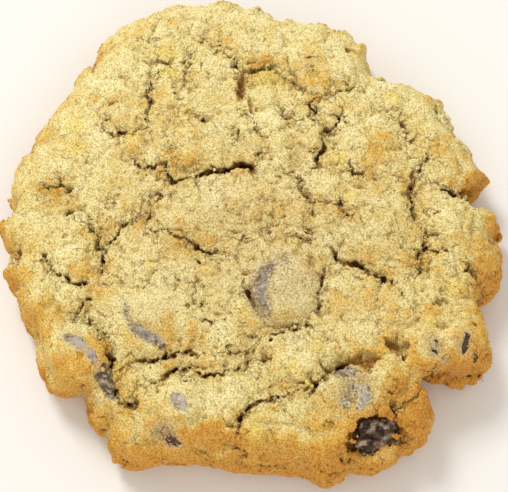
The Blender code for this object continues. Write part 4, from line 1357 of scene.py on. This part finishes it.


# Baked peanut butter dough: dry, sandy and matte. Straw-coloured and pale over the top, golden where it
# stands out or baked longer.
# Painted shade makes it beige in the shallow hollows and brown down in the cracks.
bakedDough = {
    "pale": "#faefb4",
    "straw": "#eedb93",
    "golden": "#e6b958",
    "toasted": "#d89b42",
    # these two are painted shade down in the cracks, the deep hollows and the hair cracks
    "wall": "#ad7a31",
    "crackShade": "#74481a",
    "nut": "#f3dc78",
    # beige: painted shade in the shallow hollows, and the colour of the greyer middle
    "beige": "#d3ba84",
    "haze": "#d0c39e",
    "film": "#b9ada0",         # chocolate seen through a skin of dough, and where it shows dark
    "filmDark": "#48352a",
    "roughness": 0.8,
    "patch": 6.5,              # mm, paler and more golden patches
    "mottle": 1.8,             # mm, unevenness within them
    "sand": 0.5,               # mm, sugar and flour grains
    "fleck": 0.9,              # mm, chocolate in the thin dough over a chip
    "speck": 0.36,             # mm, the finest grains, drawn coarser: the real ones are finer than a pixel
    "fissure": 2.2,            # mm between hair cracks
    "bend": 1.2987,            # mm, size and reach of their bends
    "wander": 1.4,
    "clump": 1.6949,           # mm, the places that have them
    "relief": 0.22,            # mm, height of the grains
}


def makeDoughMaterial():
    m = bakedDough
    shade = {key: linear(code) for key, code in m.items() if isinstance(code, str)}
    material, tree = newMaterial("baked peanut butter dough")
    place = addNode(tree, "TexCoord", out="Object")
    crease, hollow, facing, deep, brown, nut, stain, cracked, line, dull = (
        addNode(tree, "Attribute", out="Fac", attribute_name=name) for name in doughLayers)

    def clouds(key, detail, out=0, **more):
        return addNode(tree, "TexNoise", {
            "Vector": place, "Scale": 1.0 / (m[key] * mm), "Detail": detail, **more}, out)

    patch, mottle, sand, fleck = (
        clouds(key, detail, Roughness=0.6)
        for key, detail in (("patch", 2.0), ("mottle", 1.0), ("sand", 3.0), ("fleck", 1.0)))
    speck = addNode(tree, "TexVoronoi", {"Vector": place, "Scale": 1.0 / (m["speck"] * mm)}, "Distance")

    # hair cracks run along the edges of bent cells, and only here and there; they are dented and darkened
    # with painted shade
    bends = clouds("bend", 3.0, "Color")
    bent = addNode(tree, "Mix", {0: m["wander"] * mm, 4: place, 5: bends}, 1, data_type="VECTOR")
    cells = addNode(tree, "TexVoronoi", {"Vector": bent, "Scale": 1.0 / (m["fissure"] * mm)}, "Distance",
                    feature="DISTANCE_TO_EDGE")
    where = reckon(tree, "MULTIPLY_ADD", cracked, 0.14, clouds("clump", 1.0))
    where = stretched(tree, where, 0.57, 0.65)
    hair = reckon(tree, "MULTIPLY", stretched(tree, cells, 0.0, 0.06, 1.0, 0.0), where)

    # how far each place is baked: pale, straw, golden, toasted. Slopes that face the front are more golden,
    # partly from baking and partly as painted shade
    tone = reckon(tree, "MULTIPLY_ADD", patch, 1.6, -0.8)
    for layer, strength in ((hollow, -0.9), (mottle, 1.0), (facing, 0.5)):
        tone = reckon(tree, "MULTIPLY_ADD", layer, strength, tone)
    tone = stretched(tree, tone, 0.1, 0.9, 0.0, 0.6)
    tone = reckon(tree, "ADD", tone, brown, clamp=True)
    colour = ramp(tree, tone, (
        (0.0, shade["pale"]), (0.35, shade["straw"]), (0.68, shade["golden"]), (1.0, shade["toasted"])))
    colour = mixed(tree, reckon(tree, "MULTIPLY", nut, 0.7), colour, shade["nut"])

    # chocolate showing through, as a haze and as specks
    colour = mixed(tree, reckon(tree, "MULTIPLY", stain, 0.75, clamp=True), colour, shade["haze"])
    film = mixed(tree, stretched(tree, fleck, 0.38, 0.62), shade["filmDark"], shade["film"])
    share = reckon(tree, "MULTIPLY_ADD", sand, 1.2, stain)
    colour = mixed(tree, stretched(tree, share, 1.0, 1.3, 0.0, 0.9), colour, film)

    # the finest cracks are a dark line of painted shade, broken here and there
    line = reckon(tree, "MULTIPLY_ADD", mottle, 0.5, reckon(tree, "ABSOLUTE", line))
    line = stretched(tree, line, 0.27, 0.41, 1.0, 0.0)
    line = reckon(tree, "MULTIPLY", line, stretched(tree, cracked, 0.82, 0.92))

    # painted shade: beige in the shallow hollows, brown down the cracks, in the deep hollows, along the
    # hair cracks and the finest cracks; the greyer middle is beige too
    share = stretched(tree, hollow, -0.05, 0.45, 0.0, 0.5)
    share = reckon(tree, "MULTIPLY_ADD", dull, 0.4, share)
    colour = mixed(tree, share, colour, shade["beige"])
    for layer, low, high, most, key in (
            (deep, 0.15, 0.75, 0.9, "wall"), (hollow, 0.55, 0.95, 0.85, "crackShade"),
            (hair, 0.0, 1.0, 0.4, "wall"), (line, 0.0, 1.0, 0.6, "crackShade")):
        colour = mixed(tree, stretched(tree, layer, low, high, 0.0, most), colour, shade[key])

    # painted shade in the creases and among the grains darkens it, and makes it warmer as light bounces
    # between them
    creaseShade = stretched(tree, crease, -0.15, 0.5, 1.03, 0.66)
    grains = stretched(tree, sand, 0.3, 0.7, 0.88, 1.1)
    light = reckon(tree, "MULTIPLY", reckon(tree, "MULTIPLY", creaseShade, grains), 0.75)
    shadeTint = ramp(tree, light, (
        (0.22, (0.42, 0.26, 0.1, 1.0)), (0.52, (0.77, 0.65, 0.39, 1.0)),
        (0.75, (1.0, 0.99, 0.97, 1.0)), (1.0, (1.06, 1.1, 1.32, 1.0))))
    # the top of a grain is whiter, partly its own paler colour and partly painted highlight, and the gap
    # beside it darker and yellower with painted shade
    specks = stretched(tree, speck, 0.15, 0.75)
    specks = mixed(tree, specks, (1.28, 1.3, 1.46, 1.0), (0.76, 0.73, 0.59, 1.0))
    # both tints are painted light and shade, multiplied into the colour
    for tint in (shadeTint, specks):
        colour = mixed(tree, 1.0, colour, tint, blend_type="MULTIPLY")

    relief = sand
    for layer, strength in ((mottle, 0.7), (speck, -0.7), (hair, -0.8), (line, -1.5)):
        relief = reckon(tree, "MULTIPLY_ADD", layer, strength, relief)
    bump = addNode(tree, "Bump", {
        "Strength": 1.0, "Distance": m["relief"] * mm, "Height": relief}, "Normal")
    shadeWith(tree, {
        "Base Color": colour, "Roughness": m["roughness"], "Normal": bump, "Specular IOR Level": 0.25})
    return material


# Baked chocolate: nearly black brown, dulled by a greyish bloom and by dough dust
bakedChocolate = {
    "dark": "#2a1710",
    "brown": "#61482f",
    "bloom": "#bdb0a2",
    "dust": "#dccea2",
    "roughness": 0.6,
    "cloud": 1.8,              # mm, patches of bloom
    "fine": 0.45,              # mm, their grain
    "relief": 0.25,            # mm, height of the grain
}


def makeChocolate():
    m = bakedChocolate
    shade = {key: linear(code) for key, code in m.items() if isinstance(code, str)}
    material, tree = newMaterial("baked chocolate")
    place = addNode(tree, "TexCoord", out="Object")
    dust, bloom = (addNode(tree, "Attribute", out="Fac", attribute_name=name) for name in ("dust", "bloom"))
    cloud, fine = (
        addNode(tree, "TexNoise", {
            "Vector": place, "Scale": 1.0 / (m[key] * mm), "Detail": 4.0, "Roughness": 0.65})
        for key in ("cloud", "fine"))
    haze = reckon(tree, "MULTIPLY_ADD", cloud, 1.5, -1.15)
    haze = reckon(tree, "MULTIPLY_ADD", fine, 0.8, haze)
    haze = reckon(tree, "ADD", haze, bloom, clamp=True)
    colour = ramp(tree, haze, ((0.0, shade["dark"]), (0.4, shade["brown"]), (1.0, shade["bloom"])))
    cover = reckon(tree, "MULTIPLY_ADD", fine, 2.4, dust)
    colour = mixed(tree, stretched(tree, cover, 1.65, 1.95), colour, shade["dust"])
    relief = reckon(tree, "ADD", cloud, fine)
    bump = addNode(tree, "Bump", {
        "Strength": 0.7, "Distance": m["relief"] * mm, "Height": relief}, "Normal")
    shadeWith(tree, {
        "Base Color": colour, "Roughness": m["roughness"], "Normal": bump, "Specular IOR Level": 0.3})
    return material


sandyDough = makeDoughMaterial()
chocolate = makeChocolate()
for thing in [dough] + bitPieces:
    thing.data.materials.append(sandyDough)
    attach(thing, "root")
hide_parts("dough")
for name, chip in chips.items():
    makeChip(name, chip)
tell("chips and materials")


# The stage: a pale board, a softly lit room, a window behind on the left and a reflector in front.
# Its sizes and places are in metres, its lamps in watts.
stage = {
    "floor": "#f4f2ee",
    "floorHalf": 3.0,
    "floorGap": 0.0002,        # how far the board lies below the cookie
    "roomColour": "#fffaf2",
    "room": 0.64,
    "lamps": {
        "window": {"place": (-0.35, 0.5, 0.78), "size": 0.3, "power": 5.0},
        "reflector": {"place": (0.15, -0.85, 0.5), "size": 0.8, "power": 2.2},
    },
}


def makeStage():
    bm = bmesh.new()
    bmesh.ops.create_grid(bm, x_segments=1, y_segments=1, size=stage["floorHalf"])
    mesh = bpy.data.meshes.new("floor")
    bm.to_mesh(mesh)
    bm.free()
    floor = bpy.data.objects.new("floor", mesh)
    floor.location.z = -stage["floorGap"]
    bpy.context.scene.collection.objects.link(floor)
    material, tree = newMaterial("matte white board")
    shadeWith(tree, {"Base Color": linear(stage["floor"]), "Roughness": 0.9})
    mesh.materials.append(material)
    world = bpy.data.worlds.new("room")
    world.use_nodes = True
    background = world.node_tree.nodes["Background"]
    background.inputs["Color"].default_value = linear(stage["roomColour"])
    background.inputs["Strength"].default_value = stage["room"]
    bpy.context.scene.world = world


def addLight(name, place, size, power):
    light = bpy.data.lights.new(name, "AREA")
    light.size, light.energy = size, power
    lamp = bpy.data.objects.new(name, light)
    lamp.location = place
    lamp.rotation_euler = (-Vector(place)).to_track_quat("-Z", "Y").to_euler()
    bpy.context.scene.collection.objects.link(lamp)


def addCamera():
    lens = bpy.data.cameras.new("camera")
    camera = bpy.data.objects.new("camera", lens)
    camera.location = Vector(eye) * mm
    camera.rotation_euler = Vector(-viewBack).to_track_quat("-Z", "Y").to_euler()
    lens.sensor_width = photoView["sensor"]
    lens.lens = photoView["sensor"] * photoView["distance"] / photoView["pixel"] / photoView["width"]
    lens.clip_start, lens.clip_end = 0.01, 20.0
    bpy.context.scene.collection.objects.link(camera)
    bpy.context.scene.camera = camera


makeStage()
for name, lamp in stage["lamps"].items():
    addLight(name, **lamp)
addCamera()
bpy.context.scene.view_settings.view_transform = "Standard"

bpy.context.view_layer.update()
tell("done")
